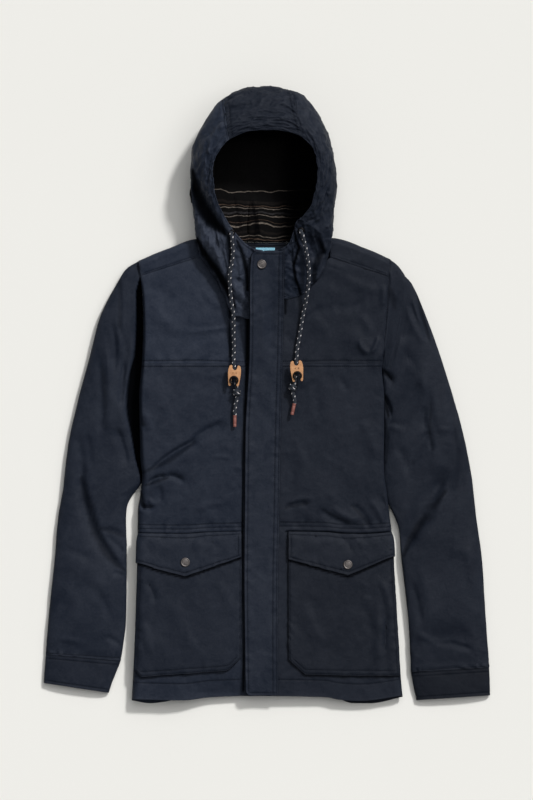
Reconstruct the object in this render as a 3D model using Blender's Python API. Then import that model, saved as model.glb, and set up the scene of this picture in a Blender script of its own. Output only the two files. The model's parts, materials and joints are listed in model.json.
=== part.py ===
"""Waxed cotton jacket with a hood, laid flat on its back.

Lengths in the tables are millimetres.  +X is the wearer's left, +Y points to
the hood and +Z up from the surface that the jacket lies on.  "right" and
"left" are the wearer's: right is at -X.  Every cloth piece is a wall whose
outer face is worked out from the tables, with its inner face moved inwards.
"""
import math

import bmesh
import bpy
import numpy as np
from mathutils import Matrix, Vector
from mathutils.bvhtree import BVHTree

# ---------------------------------------------------------------- sizes (mm)
MM = 0.001
CENTRE_Y = 0.85          # moves the finished jacket so that its outline is centred
GAP = 0.3                # between pieces that are sewn together
CLOTH = 1.6              # waxed cotton with its seam turnings
LINING = 1.2
LINING_GAP = 3.0         # the lining hangs a little inside the hood
FACING = 1.2
PLACKET_WALL = 2.2       # two layers turned and pressed
FLAP_WALL = 1.8
SIDE_SEAM_Z = 12.0       # height of the side and armhole seams
SIDE_ROLL = 14.0         # how far in the fronts start to roll down
SHOULDER_ROLL = 9.0
CHEST_SEAM_Y = 50.0
CENTRE_RIGHT_X = -6.0    # edges of the two fronts under the placket
CENTRE_LEFT_X = -4.4
NECK_RIGHT_X = -110.0    # where the shoulders end at the neck
NECK_LEFT_X = 102.0
POCKET_RAISE = 3.4
SNAP_RADIUS = 7.5
CORD_RADIUS = 3.1

# Body edges. Columns: y, right edge x, left edge x
EDGE = np.array([
    (-500, -219, 221), (-460, -217, 217), (-398, -214, 213), (-335, -212, 209),
    (-286, -212, 206), (-232, -211, 203), (-190, -210, 196), (-160, -205, 190),
    (-132, -202, 188), (-105, -205, 189), (-60, -206, 190), (-5, -207, 190),
    (38, -204.0, 186),
], float)

# Armholes. Columns: top x, top y, bottom x, bottom y, bow towards the body
ARMHOLE = {"right": (-207.5, 215, -204.0, 38, 5.0), "left": (198, 221, 186, 38, -2.0)}

# Height of the fronts. Columns: y, at right front, at placket, at left front
LOFT = np.array([
    (-500, 24, 20, 17), (-400, 26, 22, 19), (-300, 26, 23, 20), (-211, 24, 22, 19),
    (-150, 27, 24, 22), (-40, 28, 25, 24), (50, 27, 25, 25), (140, 26, 24, 25),
    (230, 24, 24, 24),
], float)

# Seams and edges that cross the body. Columns: x, y
FRONT_HEM = np.array([(-220, -493), (-136, -495), (-91, -490), (-35, -488), (5, -488),
                      (97, -490), (117, -494), (150, -496), (222, -487)], float)
BACK_HEM = np.array([(-220, -495), (-189, -500), (-168, -498), (-136, -491), (-91, -486),
                     (97, -486), (140, -500), (167, -500), (222, -489)], float)
SHOULDER = np.array([(-212, 215), (-162, 236), (-110, 252.5), (102, 254), (167, 234),
                     (200, 219)], float)
FORWARD_SEAM = np.array([(-210, 190), (-110, 222), (102, 222), (201, 189)], float)
NAPE = np.array([(-110, 243.5), (-99, 248.5), (-60, 248), (0, 246), (60, 248), (91, 250),
                 (102, 245)], float)
NECKLINE_RIGHT = np.array([(-110, 222), (-91, 203), (-75, 182), (-61, 159), (-50, 138),
                           (-32, 131), (-4, 131)], float)
NECKLINE_LEFT = np.array([(-6, 160), (29, 161), (50, 167), (64, 174), (74, 186), (88, 208),
                          (102, 222)], float)

# Large folds of the fronts. Columns: x0, y0, x1, y1, bow, half width, height
BODY_FOLDS = np.array([
    (-196, -150, -84, -62, 6, 17, 2.6),
    (-205, -182, -120, -128, -4, 16, -2.4),
    (-204, 30, -150, -70, 10, 20, 2.4),
    (-190, 112, -40, 122, 8, 18, 1.6),
    (40, -190, 120, -160, -5, 18, 1.8),
    (92, -204, 186, -150, 8, 18, -2.2),
    (120, 104, 190, 40, 6, 18, 2.6),
    (60, 60, 150, -90, -12, 24, 1.8),
], float)

# Sleeves, a row for each section. Columns: outer x, y, inner x, y, height, bow
SLEEVE_RIGHT = np.array([
    (-207.5, 214, -204.0, 38, 12, 5), (-241, 191, -206, 20, 20, 3),
    (-270, 126, -206, -6, 24, 1), (-288, 56, -206, -36, 24, 0),
    (-306, -9, -206, -70, 22, 0), (-321, -77, -205, -106, 21, 0),
    (-330, -151, -202, -140, 20, 0), (-338, -198, -226, -180, 19, 0),
    (-344, -270, -227, -244, 18, 0), (-351, -334, -227, -292, 18, 0),
    (-356, -390, -230, -365, 17, 0), (-358, -420, -236, -430, 15, 0),
], float)
SLEEVE_LEFT = np.array([
    (198, 220, 186, 38, 12, -2), (224, 196, 188, 18, 20, -1),
    (242, 172, 189, -12, 24, 0), (276, 77, 190, -58, 24, 0),
    (303, -9, 189, -108, 22, 0), (318, -64, 189, -140, 21, 0),
    (331, -129, 196, -174, 20, 0), (339, -198, 213, -216, 19, 0),
    (348, -265, 218, -268, 18, 0), (354, -357, 229, -365, 17, 0),
    (358, -410, 232, -418, 16, 0), (360, -441, 233, -449, 15, 0),
], float)
CUFF_RIGHT = np.array([(-358.6, -420.6, -235.4, -430.6, 16, 0),
                       (-360, -444, -247, -457, 15, 0),
                       (-361.4, -467, -256, -483, 13, 0)], float)
CUFF_LEFT = np.array([(360.6, -441.6, 232.4, -449.6, 16, 0),
                      (361, -464, 237, -472, 15, 0),
                      (361.4, -487, 242, -495, 13, 0)], float)

# Large folds of the sleeves, laid out as BODY_FOLDS
SLEEVE_FOLDS = np.array([
    (-312, -108, -246, -276, -22, 16, -5.0),
    (-262, 60, -250, -70, 8, 16, 2.6),
    (-236, 182, -232, 96, -4, 14, 2.4),
    (-330, -250, -262, -330, 6, 18, 2.2),
    (306, -128, 232, -262, 16, 20, -5.5),
    (206, 150, 218, 84, 0, 16, -3.0),
    (196, -8, 262, -30, 8, 16, 3.0),
    (252, 60, 290, -70, -6, 20, 2.4),
    (250, -404, 336, -392, 6, 14, -2.2),
], float)

# Hood, a row for each section from the right front edge round to the left.
# Columns: rim x, y, z, puff, side x, y, z, foot x, y, z
HOOD = np.array([
    (-6, 233, 44, 3, -6, 124, 32, -6, 133, 25.6),
    (-23, 237, 46, 3, -32, 124, 32, -32, 133, 25.6),
    (-39, 249, 53, 4, -57, 132, 33, -50, 140, 25.8),
    (-57, 270, 62, 3, -69, 163, 34, -61, 164, 25.8),
    (-73, 297, 74, 0, -86, 193, 36, -78, 190, 25.6),
    (-81, 315, 82, 0, -103, 218, 38, -95, 211, 25.4),
    (-85, 330, 87, 2, -112, 243, 40, -106, 232, 25.4),
    (-87, 345, 91, 4, -117, 277, 42, -107.5, 256, 13),
    (-88, 360, 94, 8, -122, 325, 44, -97, 0, 0),
    (-86, 375, 96, 14, -124, 362, 46, -86, 0, 0),
    (-78, 392, 98, 18, -118, 404, 47, -70, 0, 0),
    (-61, 411, 99, 20, -85, 464, 48, -48, 0, 0),
    (-32, 424, 99, 20, -46, 490, 46, -28, 0, 0),
    (-3, 427, 98, 20, -8, 497, 45, -5, 0, 0),
    (29, 425, 98, 20, 30, 493, 45, 20, 0, 0),
    (57, 415, 97, 20, 61, 480, 46, 42, 0, 0),
    (77, 393, 95, 18, 95, 436, 47, 62, 0, 0),
    (83, 365, 92, 14, 110, 388, 46, 78, 0, 0),
    (80, 335, 87, 8, 113, 336, 44, 90, 0, 0),
    (73, 308, 80, 4, 108, 290, 42, 99.5, 257, 13),
    (60, 290, 72, 3, 105, 252, 40, 99, 236, 25.6),
    (47, 278, 65, 3, 97, 217, 38, 90, 213, 25.6),
    (42, 262, 57, 3, 82, 185, 36, 76, 190, 25.8),
    (34, 243, 50, 3, 58, 163, 33, 53, 171, 25.8),
    (16, 234, 46, 3, 28, 154, 32, 28, 163, 25.6),
    (-4.4, 233, 44, 3, -4.4, 152, 32, -4.4, 162, 25.6),
], float)
HOOD_KNOTS = (0.0, 0.28, 0.55, 0.68, 1.0)   # rim, crest, side, under, foot
HOOD_SEAMS = (11, 15)                       # rows where the middle strip is sewn in
HOOD_ROWS = (0.0, 0.05, 0.13, 0.22, 0.32, 0.43, 0.53, 0.59, 0.64, 0.70, 0.84, 1.0)
LINING_ROWS = (0.03, 0.13, 0.22, 0.32, 0.43, 0.53, 0.59, 0.64, 0.70, 0.84, 0.975)
LINING_SPAN = (8.0, 19.0)                   # hood rows between which the lining shows

# Deep folds of the hood, laid out as BODY_FOLDS
HOOD_FOLDS = np.array([
    (-124, 352, -60, 256, 4, 11, -24),
    (-100, 262, -66, 178, 6, 10, 5),
    (60, 262, 84, 214, -4, 9, -6),
    (-70, 452, 60, 452, 6, 12, -2.6),
], float)

# Placket. Columns: y, right edge x, left edge x
PLACKET = np.array([
    (-488, -31, 18), (-480, -36, 18), (-409, -37, 18), (-294, -38.5, 18.6),
    (-176, -36, 21), (-14, -36, 24), (116, -31, 27), (169, -29, 28), (223, -26, 28),
    (228, -24, 28), (232, -18, 27),
], float)

# Pockets and flaps. Columns: x, lower edge y
POCKET_RIGHT = np.array([(-214, -444), (-201, -459), (-136, -456), (-66, -449),
                         (-52, -441), (-41, -427)], float)
POCKET_LEFT = np.array([(34, -428), (46, -440), (61, -454), (135, -456), (213, -456)], float)
FLAP_RIGHT = np.array([(-214, -266), (-201, -274), (-133, -295), (-41, -265)], float)
FLAP_LEFT = np.array([(33, -268), (129, -295), (208, -266)], float)
FLAP_TOP_Y = -221.0
POCKET_TOP_Y = -240.0

# Drawcords. Columns: x, y, lift off what is below
CORD_RIGHT = np.array([
    (-57, 262, 3.0), (-56, 246, 3.0), (-55, 229, 2.0), (-57, 212, 0.8), (-60, 196, 0.6),
    (-60, 180, 0.6), (-58, 155, 0.8), (-54, 127, 3.0), (-54, 100, 3.0), (-53.5, 76, 1.0),
    (-54, 56, 3.6), (-52, 36, 4.6), (-49.5, 14, 4.2), (-48, 0, 3.9), (-51.5, -20, 2.6),
    (-52, -33, 2.0),
], float)
CORD_LEFT = np.array([
    (55, 265, 0.8), (59, 252, 1.0), (64, 230, 1.4), (67.5, 206, 2.0), (67.5, 184, 2.6),
    (64, 156, 3.4), (58, 128, 1.2), (54, 102, 1.0), (49.5, 78, 1.2), (48, 60, 3.6),
    (47, 42, 4.6), (45, 22, 4.2), (42, 10, 4.0), (42.5, 0, 4.0), (45, -9, 4.2),
    (44.5, -14, 4.4),
], float)

# Small pieces. Columns: centre x, y, turn in degrees
TOGGLE_PLACE = {"right": (-52.8, 30.5, -4.0), "left": (48.6, 38.0, 5.0)}
KNOT_Y = {"right": 3.0, "left": 11.0}
TIP_LENGTH = 19.0
TOGGLE_WALL = 3.0
# Half of a toggle's outline, from the top notch down to the slot. Columns: x, y
TOGGLE_HALF = ((0.0, 8.6), (-2.6, 9.6), (-4.4, 12.5), (-4.8, 16.6), (-6.4, 17.4), (-8.8, 16.0),
               (-10.2, 11.0), (-10.6, 4.0), (-9.6, -6.0), (-8.6, -15.0), (-7.8, -17.2),
               (-5.6, -17.0), (-4.8, -13.0), (-4.4, -5.0), (-3.0, -1.8), (0.0, -0.6))
SNAPS = {"snap_placket": (-8.3, 210.8), "snap_flap_right": (-131.9, -271.2),
         "snap_flap_left": (131.1, -275.1)}

COLOURS = {
    "wax_cotton": ((0.017, 0.022, 0.032), 0.0, 0.55),
    "wax_cotton_trim": ((0.020, 0.025, 0.036), 0.0, 0.50),
    "striped_lining": ((0.012, 0.011, 0.012), 0.0, 0.85),
    "blue_tape": ((0.09, 0.45, 0.66), 0.0, 0.75),
    "stud_metal": ((0.12, 0.11, 0.11), 1.0, 0.42),
    "cord_braid": ((0.020, 0.032, 0.052), 0.0, 0.80),
    "tan_leather": ((0.48, 0.24, 0.10), 0.0, 0.60),
    "cord_ferrule": ((0.33, 0.12, 0.085), 0.0, 0.45),
}


# ------------------------------------------------------------ curves, surfaces
def smooth(table, column, x):
    """Read a table's column at x, on a curve that never overshoots its rows."""
    xs = table[:, 0]
    ys = table[:, column]
    step = np.diff(xs)
    slope = np.diff(ys) / step
    tangent = np.zeros_like(ys)
    tangent[0] = slope[0]
    tangent[-1] = slope[-1]
    same = slope[:-1] * slope[1:] > 0
    total = slope[:-1] + slope[1:]
    tangent[1:-1][same] = (2 * slope[:-1] * slope[1:])[same] / total[same]
    x = np.clip(x, xs[0], xs[-1])
    i = np.clip(np.searchsorted(xs, x) - 1, 0, len(step) - 1)
    t = (x - xs[i]) / step[i]
    rise = ys[i] * (2 * t ** 3 - 3 * t ** 2 + 1) + ys[i + 1] * (3 * t ** 2 - 2 * t ** 3)
    lean = tangent[i] * (t ** 3 - 2 * t ** 2 + t) + tangent[i + 1] * (t ** 3 - t ** 2)
    return rise + lean * step[i]


def spline(knots, rows, q):
    """Smooth curve through rows (rows, ..., values), read at q."""
    knots = np.asarray(knots, float)
    step = np.diff(knots)
    shape = (-1,) + (1,) * (rows.ndim - 1)
    slope = np.diff(rows, axis=0) / step.reshape(shape)
    tangent = np.empty_like(rows)
    tangent[0] = slope[0]
    tangent[-1] = slope[-1]
    near = step[:-1].reshape(shape)
    far = step[1:].reshape(shape)
    tangent[1:-1] = (slope[:-1] * far + slope[1:] * near) / (near + far)
    i = np.clip(np.searchsorted(knots, q, side="right") - 1, 0, len(step) - 1)
    t = (q - knots[i]) / step[i]
    return i, t, step[i], tangent


def hermite(rows, i, t, step, tangent):
    """Value of the curve that spline() set up, for each q."""
    tail = (slice(None),) + (None,) * (rows.ndim - 1)
    t = t[tail]
    step = step[tail]
    value = rows[i] * (2 * t ** 3 - 3 * t ** 2 + 1) + rows[i + 1] * (3 * t ** 2 - 2 * t ** 3)
    lean = tangent[i] * (t ** 3 - 2 * t ** 2 + t) + tangent[i + 1] * (t ** 3 - t ** 2)
    return value + lean * step


def folds(table, x, y):
    """Rise of all folds in a table: a bell across each one, faded at its ends."""
    rise = np.zeros(np.broadcast(x, y).shape)
    for x0, y0, x1, y1, bow, width, height in table:
        length = math.hypot(x1 - x0, y1 - y0)
        ax = (x1 - x0) / length
        ay = (y1 - y0) / length
        along = ((x - x0) * ax + (y - y0) * ay) / length
        inside = np.clip(along, 0, 1)
        across = (y - y0) * ax - (x - x0) * ay - bow * 4 * inside * (1 - inside)
        past = (along - inside) * length
        fade = np.clip(np.sin(math.pi * np.clip(inside, 0.02, 0.98)) * 1.7, 0, 1)
        rise += height * fade * np.exp(-(across ** 2 + past ** 2) / width ** 2)
    return rise


def edge_x(side, y):
    """The body's edge: side seam below the armhole, armhole seam above."""
    top_x, top_y, low_x, low_y, bow = ARMHOLE[side]
    a = (y - (top_y + low_y) / 2) / ((top_y - low_y) / 2)
    line = (top_x + low_x) / 2 + (top_x - low_x) / 2 * a
    inward = bow if side == "right" else -bow
    arm = line + inward * (1 - a ** 2)
    below = smooth(EDGE, 1 if side == "right" else 2, y)
    return np.where(y > low_y, arm, below)


def front_loft(x, y):
    """Height of the fronts before they roll down at the sides."""
    right = smooth(LOFT, 1, y)
    middle = smooth(LOFT, 2, y)
    left = smooth(LOFT, 3, y)
    f = np.clip(x / 130.0, -1, 1)
    swell = np.sin(f * math.pi / 2)
    base = np.where(f < 0, middle + (middle - right) * swell, middle + (left - middle) * swell)
    return base + folds(BODY_FOLDS, x, y)


def waist_pinch(y):
    """The drawn-in line at the waist."""
    return -1.2 * np.exp(-((y + 211) / 9.0) ** 2)


def front_height(side, x, y):
    """Height of the fronts with the roll at the side seam or the armhole."""
    end = edge_x(side, y)
    into = np.clip((np.abs(x) - (np.abs(end) - SIDE_ROLL)) / SIDE_ROLL, 0, 1)
    top = front_loft(x, y) + waist_pinch(y)
    return SIDE_SEAM_Z + (top - SIDE_SEAM_Z) * np.sqrt(np.maximum(1 - into ** 2, 0))


def back_reach(side, y):
    """How high the back's edge is: at the side seam, or flat along the armhole."""
    armpit = ARMHOLE[side][3]
    open_part = np.clip((y - armpit - 2) / 22.0, 0, 1)
    return SIDE_SEAM_Z * (1 - open_part ** 2 * (3 - 2 * open_part))


def back_rise(side, x, y):
    """Height of the back at its edges: it rolls up to the side seam."""
    end = edge_x(side, y)
    into = np.clip((np.abs(x) - (np.abs(end) - SIDE_ROLL)) / SIDE_ROLL, 0, 1)
    return back_reach(side, y) * (1 - np.sqrt(np.maximum(1 - into ** 2, 0)))


def back_normals(side, points):
    """Outward direction of the back: down, turning sideways up the roll."""
    x = points[..., 0]
    y = points[..., 1]
    sign = -1 if side == "right" else 1
    end = edge_x(side, y)
    into = np.clip((np.abs(x) - (np.abs(end) - SIDE_ROLL)) / SIDE_ROLL, 0, 1)
    level = np.sqrt(np.maximum(1 - into ** 2, 0)) + 0.001
    normal = np.stack([sign * back_reach(side, y) / SIDE_ROLL * into, 0 * x, -level], -1)
    return normal / np.linalg.norm(normal, axis=-1, keepdims=True)


def across(side, inner_x, y, column):
    """x of a column at height y: flat ones share the width, rolled ones the roll."""
    kind, f = column
    end = edge_x(side, y)
    sign = -1 if side == "right" else 1
    start = end - sign * SIDE_ROLL
    if kind == "flat":
        return inner_x + (start - inner_x) * f
    return start + sign * SIDE_ROLL * math.sin(f * math.pi / 2)


def front_grid(side, inner_x, low, high, columns, rows):
    """Outer points of a front panel between two lines across the body."""
    points = np.empty((len(columns), len(rows), 3))
    for i, column in enumerate(columns):
        for j, t in enumerate(rows):
            y = 0.0
            x = inner_x
            for _ in range(8):
                x = across(side, inner_x, np.float64(y), column)
                y = low(x) + (high(x) - low(x)) * t
            points[i, j] = (x, y, front_height(side, x, y))
    return points


def front_normals(side, points):
    """Outward direction at points of a front, from the slope of its height."""
    x = points[..., 0]
    y = points[..., 1]
    e = 0.6
    sign = -1 if side == "right" else 1
    end = edge_x(side, y)
    into = np.clip((np.abs(x) - (np.abs(end) - SIDE_ROLL)) / SIDE_ROLL, 0, 1)
    top = front_loft(x, y) + waist_pinch(y)
    slope_x = (front_loft(x + e, y) - front_loft(x - e, y)) / (2 * e)
    slope_y = (front_loft(x, y + e) + waist_pinch(y + e)
               - front_loft(x, y - e) - waist_pinch(y - e)) / (2 * e)
    level = np.sqrt(np.maximum(1 - into ** 2, 0))
    drop = (top - SIDE_SEAM_Z) / SIDE_ROLL * into
    normal = np.stack([sign * drop - slope_x * level, -slope_y * level, level], -1)
    return normal / np.linalg.norm(normal, axis=-1, keepdims=True)


def grid_normals(points, up=None):
    """Directions square to a grid of points, one for each point."""
    du = np.gradient(points, axis=0)
    dv = np.gradient(points, axis=1)
    normal = np.cross(du, dv)
    normal /= np.maximum(np.linalg.norm(normal, axis=-1, keepdims=True), 1e-9)
    return normal if up is None else normal * up


def pull_back(points, edge, distance):
    """Move one edge of a grid inwards along the cloth, for a seam's gap."""
    points = points.copy()
    index = {"u0": (0, 1), "u1": (-1, -2)}
    if edge in index:
        end, near = index[edge]
        step = points[near] - points[end]
        step /= np.linalg.norm(step, axis=-1, keepdims=True)
        points[end] += step * distance
    else:
        end, near = (0, 1) if edge == "v0" else (-1, -2)
        step = points[:, near] - points[:, end]
        step /= np.linalg.norm(step, axis=-1, keepdims=True)
        points[:, end] += step * distance
    return points


# --------------------------------------------------------------------- solids
def material(name):
    """One plain shaded material for each slot."""
    made = bpy.data.materials.get(name)
    if made is not None:
        return made
    colour, metallic, roughness = COLOURS[name]
    made = bpy.data.materials.new(name)
    made.use_nodes = True
    shader = made.node_tree.nodes["Principled BSDF"]
    shader.inputs["Base Color"].default_value = (*colour, 1.0)
    shader.inputs["Metallic"].default_value = metallic
    shader.inputs["Roughness"].default_value = roughness
    made.diffuse_color = (*colour, 1.0)
    return made


def finish(name, verts, faces, slot, shaded=True):
    """Make the object, with its faces turned outwards."""
    mesh = bpy.data.meshes.new(name)
    mesh.from_pydata([tuple(float(c) * MM for c in v) for v in verts], [], faces)
    work = bmesh.new()
    work.from_mesh(mesh)
    bmesh.ops.recalc_face_normals(work, faces=work.faces)
    work.to_mesh(mesh)
    work.free()
    if shaded:
        mesh.polygons.foreach_set("use_smooth", [True] * len(mesh.polygons))
    mesh.materials.append(material(slot))
    made = bpy.data.objects.new(name, mesh)
    bpy.context.collection.objects.link(made)
    return made


def shell(name, blocks, outward, inward, slot):
    """A cloth wall over blocks of (points, normals) that share their edges."""
    keys = {}
    place = []
    facing = []
    quads = []
    for points, normals in blocks:
        count_u, count_v = points.shape[:2]
        ids = np.empty((count_u, count_v), int)
        for i in range(count_u):
            for j in range(count_v):
                key = tuple(np.round(points[i, j], 2) + 0.0)
                if key not in keys:
                    keys[key] = len(place)
                    place.append(points[i, j])
                    facing.append(normals[i, j])
                ids[i, j] = keys[key]
        across_u = points[1:, 1:] - points[:-1, :-1]
        across_v = points[:-1, 1:] - points[1:, :-1]
        agree = np.sum(np.cross(across_u, across_v) * normals[:-1, :-1])
        for i in range(count_u - 1):
            for j in range(count_v - 1):
                ring = [ids[i, j], ids[i + 1, j], ids[i + 1, j + 1], ids[i, j + 1]]
                ring = [v for k, v in enumerate(ring) if v != ring[k - 1]]
                if agree < 0:
                    ring.reverse()
                if len(ring) > 2:
                    quads.append(ring)
    place = np.array(place)
    facing = np.array(facing)
    count = len(place)
    verts = np.concatenate([place + facing * outward, place - facing * inward])
    faces = [list(map(int, q)) for q in quads]
    faces += [[int(v) + count for v in reversed(q)] for q in quads]
    used = {}
    for q in quads:
        for a, b in zip(q, q[1:] + q[:1]):
            used[(a, b)] = used.get((a, b), 0) + 1
    for a, b in used:
        if (b, a) not in used:
            faces.append([int(b), int(a), int(a) + count, int(b) + count])
    return finish(name, verts, faces, slot)


# ----------------------------------------------------------------------- body
def y_of(table):
    """A line across the body as a function of x."""
    return lambda x: float(smooth(table, 1, x))


def straight_y(table, x):
    """A line across the body that runs straight from row to row."""
    return float(np.interp(x, table[:, 0], table[:, 1]))


def front_top(neckline):
    """Upper edge of a front: its neckline, then the forward shoulder seam."""
    def top(x):
        if neckline[0, 0] <= x <= neckline[-1, 0]:
            return float(smooth(neckline, 1, x))
        return straight_y(FORWARD_SEAM, x)
    return top


def build_fronts():
    """Both fronts, each cut in two at the chest seam."""
    made = {}
    inner = {"right": CENTRE_RIGHT_X, "left": CENTRE_LEFT_X}
    neck = {"right": NECKLINE_RIGHT, "left": NECKLINE_LEFT}
    low_rows = [0, 0.03, 0.065] + [0.065 + k * (0.435 / 5) for k in range(1, 6)]
    low_rows += [0.515, 0.53] + [0.53 + k * (0.47 / 8) for k in range(1, 9)]
    neck_share = {"right": 0.555, "left": 0.564}
    for side in ("right", "left"):
        columns = [("flat", f) for f in (0.0, 0.18, 0.26, 0.34, 0.41, 0.48)]
        columns += [("flat", neck_share[side] + (1 - neck_share[side]) * k / 5)
                    for k in range(6)]
        columns += [("roll", 0.36), ("roll", 0.7), ("roll", 1.0)]
        chest = lambda x: CHEST_SEAM_Y
        low = front_grid(side, inner[side], y_of(FRONT_HEM), chest, columns, low_rows)
        high = front_grid(side, inner[side], chest, front_top(neck[side]), columns,
                          [k / 9 for k in range(10)])
        for name, points, edges in (("lower", low, ("u1", "v1")),
                                    ("upper", high, ("u1", "v0", "v1"))):
            normals = front_normals(side, points)
            for edge in edges:
                points = pull_back(points, edge, 0.16)
            title = "front_%s_%s" % (side, name)
            made[title] = shell(title, [(points, normals)], 0.0, CLOTH, "wax_cotton")
    return made


def build_back():
    """The back, flat underneath, turned forward over both shoulders."""
    blocks = []
    low = y_of(BACK_HEM)
    shares = (0, 0.14, 0.30, 0.41, 0.49, 0.585, 0.70, 0.732, 0.765, 0.82, 0.88, 0.94, 1.0)
    row_count = len(shares) - 1
    neck_y = {"right": float(smooth(SHOULDER, 1, np.float64(NECK_RIGHT_X))) - SHOULDER_ROLL,
              "left": float(smooth(SHOULDER, 1, np.float64(NECK_LEFT_X))) - SHOULDER_ROLL}
    for side, neck_x in (("right", NECK_RIGHT_X), ("left", NECK_LEFT_X)):
        columns = [("flat", k / 3) for k in range(4)]
        columns += [("roll", 0.36), ("roll", 0.7), ("roll", 1.0)]
        turn = 6
        top_rows = 3
        points = np.empty((len(columns), row_count + 1 + turn + top_rows, 3))
        for i, column in enumerate(columns):
            for j in range(row_count + 1):
                y = 0.0
                x = neck_x
                for _ in range(8):
                    x = across(side, neck_x, np.float64(y), column)
                    high = float(smooth(SHOULDER, 1, np.float64(x))) - SHOULDER_ROLL
                    y = low(x) + (high - low(x)) * shares[j]
                points[i, j] = (x, y, back_rise(side, x, y))
            for j in range(1, turn + 1):
                angle = math.pi * j / turn
                y = high
                for _ in range(4):
                    x = across(side, neck_x, np.float64(y), column)
                    line = float(smooth(SHOULDER, 1, np.float64(x))) - SHOULDER_ROLL
                    y = line + SHOULDER_ROLL * math.sin(angle)
                top = front_height(side, x, line)
                points[i, row_count + j] = (x, y, top * (1 - math.cos(angle)) / 2)
            for j in range(1, top_rows + 1):
                for _ in range(4):
                    x = across(side, neck_x, np.float64(y), column)
                    line = float(smooth(SHOULDER, 1, np.float64(x))) - SHOULDER_ROLL
                    seam = straight_y(FORWARD_SEAM, x)
                    y = line + (seam - line) * j / top_rows
                points[i, row_count + turn + j] = (x, y, front_height(side, x, y))
        normals = grid_normals(points, -1 if side == "left" else 1)
        normals[:, :row_count + 1] = back_normals(side, points[:, :row_count + 1])
        normals[:, row_count + turn:] = front_normals(side, points[:, row_count + turn:])
        points = pull_back(pull_back(points, "u1", 0.16), "v1", 0.16)
        blocks.append((points, normals))
    middle_x = (NECK_RIGHT_X, -99.0, -50.0, 0.0, 50.0, 91.0, NECK_LEFT_X)
    middle = np.empty((len(middle_x), row_count + 1, 3))
    for i, x in enumerate(middle_x):
        high = float(smooth(NAPE, 1, np.float64(x)))
        if i == 0:
            high = neck_y["right"]
        if i == len(middle_x) - 1:
            high = neck_y["left"]
        for j in range(row_count + 1):
            middle[i, j] = (x, low(x) + (high - low(x)) * shares[j], 0.0)
    down = np.zeros_like(middle)
    down[..., 2] = -1.0
    blocks.append((middle, down))
    return shell("back_panel", blocks, 0.0, CLOTH, "wax_cotton")


def tube_grid(table, around, along):
    """Points round a flattened sleeve, from its first section to its last."""
    rings = np.linspace(0, len(table) - 1, along + 1)
    i, t, step, tangent = spline(np.arange(len(table)), table, rings)
    rows = hermite(table, i, t, step, tangent)
    angle = np.linspace(0, 2 * math.pi, around + 1)
    c = np.cos(angle)[:, None]
    s = np.sin(angle)[:, None]
    power = np.where(s >= 0, 2 / 2.5, 2 / 5.0)
    reach = np.sign(c) * np.abs(c) ** power
    lift = np.abs(s) ** power
    outer = rows[None, :, 0:2]
    inner = rows[None, :, 2:4]
    height = rows[None, :, 4]
    bow = rows[None, :, 5]
    middle = (outer + inner) / 2
    half = (outer - inner) / 2
    plan = middle + half * reach[..., None]
    side = np.sign(rows[0, 2])
    plan[..., 0] += -side * np.abs(bow) * (1 - reach ** 2) * np.sign(bow)
    rest = 0.42 * height
    top = rest + (height - rest) * lift
    low = np.maximum(rest * (1 - 1.07 * lift), 0)
    z = np.where(s >= 0, top, low)
    crease = folds(SLEEVE_FOLDS, plan[..., 0], plan[..., 1])
    fade = np.clip(rings / 2.0, 0, 1)[None, :]
    z = z + np.where(s >= 0, crease * lift * fade, 0)
    name = "right" if side < 0 else "left"
    beside = np.abs(edge_x(name, plan[..., 1])) + 0.6 + np.clip((38 - plan[..., 1]) / 20, 0, 1.0)
    plan[..., 0] = side * np.maximum(np.abs(plan[..., 0]), beside)
    points = np.concatenate([plan, z[..., None]], -1)
    points[-1] = points[0]
    return points


def tube_normals(points, sign):
    """Outward directions round a closed tube."""
    wrapped = np.concatenate([points[-2:-1], points, points[1:2]])
    du = (wrapped[2:] - wrapped[:-2]) / 2
    dv = np.gradient(points, axis=1)
    normal = np.cross(du, dv)
    normal /= np.linalg.norm(normal, axis=-1, keepdims=True)
    return normal * sign


def build_sleeves():
    """Sleeves and cuffs, flattened tubes that are open at both ends."""
    made = {}
    for side, table, cuff in (("right", SLEEVE_RIGHT, CUFF_RIGHT),
                              ("left", SLEEVE_LEFT, CUFF_LEFT)):
        sign = 1 if side == "right" else -1
        for name, rows, around, along in (("sleeve", table, 14, 17), ("cuff", cuff, 14, 2)):
            points = tube_grid(rows, around, along)
            normals = tube_normals(points, sign)
            if normals[around // 4, 1, 2] < 0:
                normals = -normals
            if name == "sleeve":
                normals[:, 0, 0] = 0.0
                normals[:, 0] /= np.linalg.norm(normals[:, 0], axis=-1, keepdims=True)
            points = pull_back(points, "v0", 0.45 if name == "sleeve" else 0.2)
            title = "%s_%s" % (name, side)
            made[title] = shell(title, [(points, normals)], 0.0, CLOTH, "wax_cotton")
    return made


# ----------------------------------------------------------------------- hood
def hood_controls():
    """The five control points of each hood section."""
    table = HOOD.copy()
    flat = table[:, 9] == 0
    table[flat, 8] = smooth(NAPE, 1, table[flat, 7]) + 0.5
    lapped = table[:, 9] > 20
    table[lapped, 9] = front_loft(table[lapped, 7], table[lapped, 8]) + 0.8
    rim = table[:, 0:3]
    side = table[:, 4:7]
    foot = table[:, 7:10]
    crest = (rim + side) / 2
    crest[:, 2] += table[:, 3]
    run = foot - side
    length = np.hypot(run[:, 0], run[:, 1])
    share = np.minimum(0.2, 26 / length)[:, None]
    under = side + run * share
    under[:, 2] = foot[:, 2] + 0.14 * (side[:, 2] - foot[:, 2]) * (table[:, 9] > 0)
    return np.stack([rim, crest, side, under, foot], 1)


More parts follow.
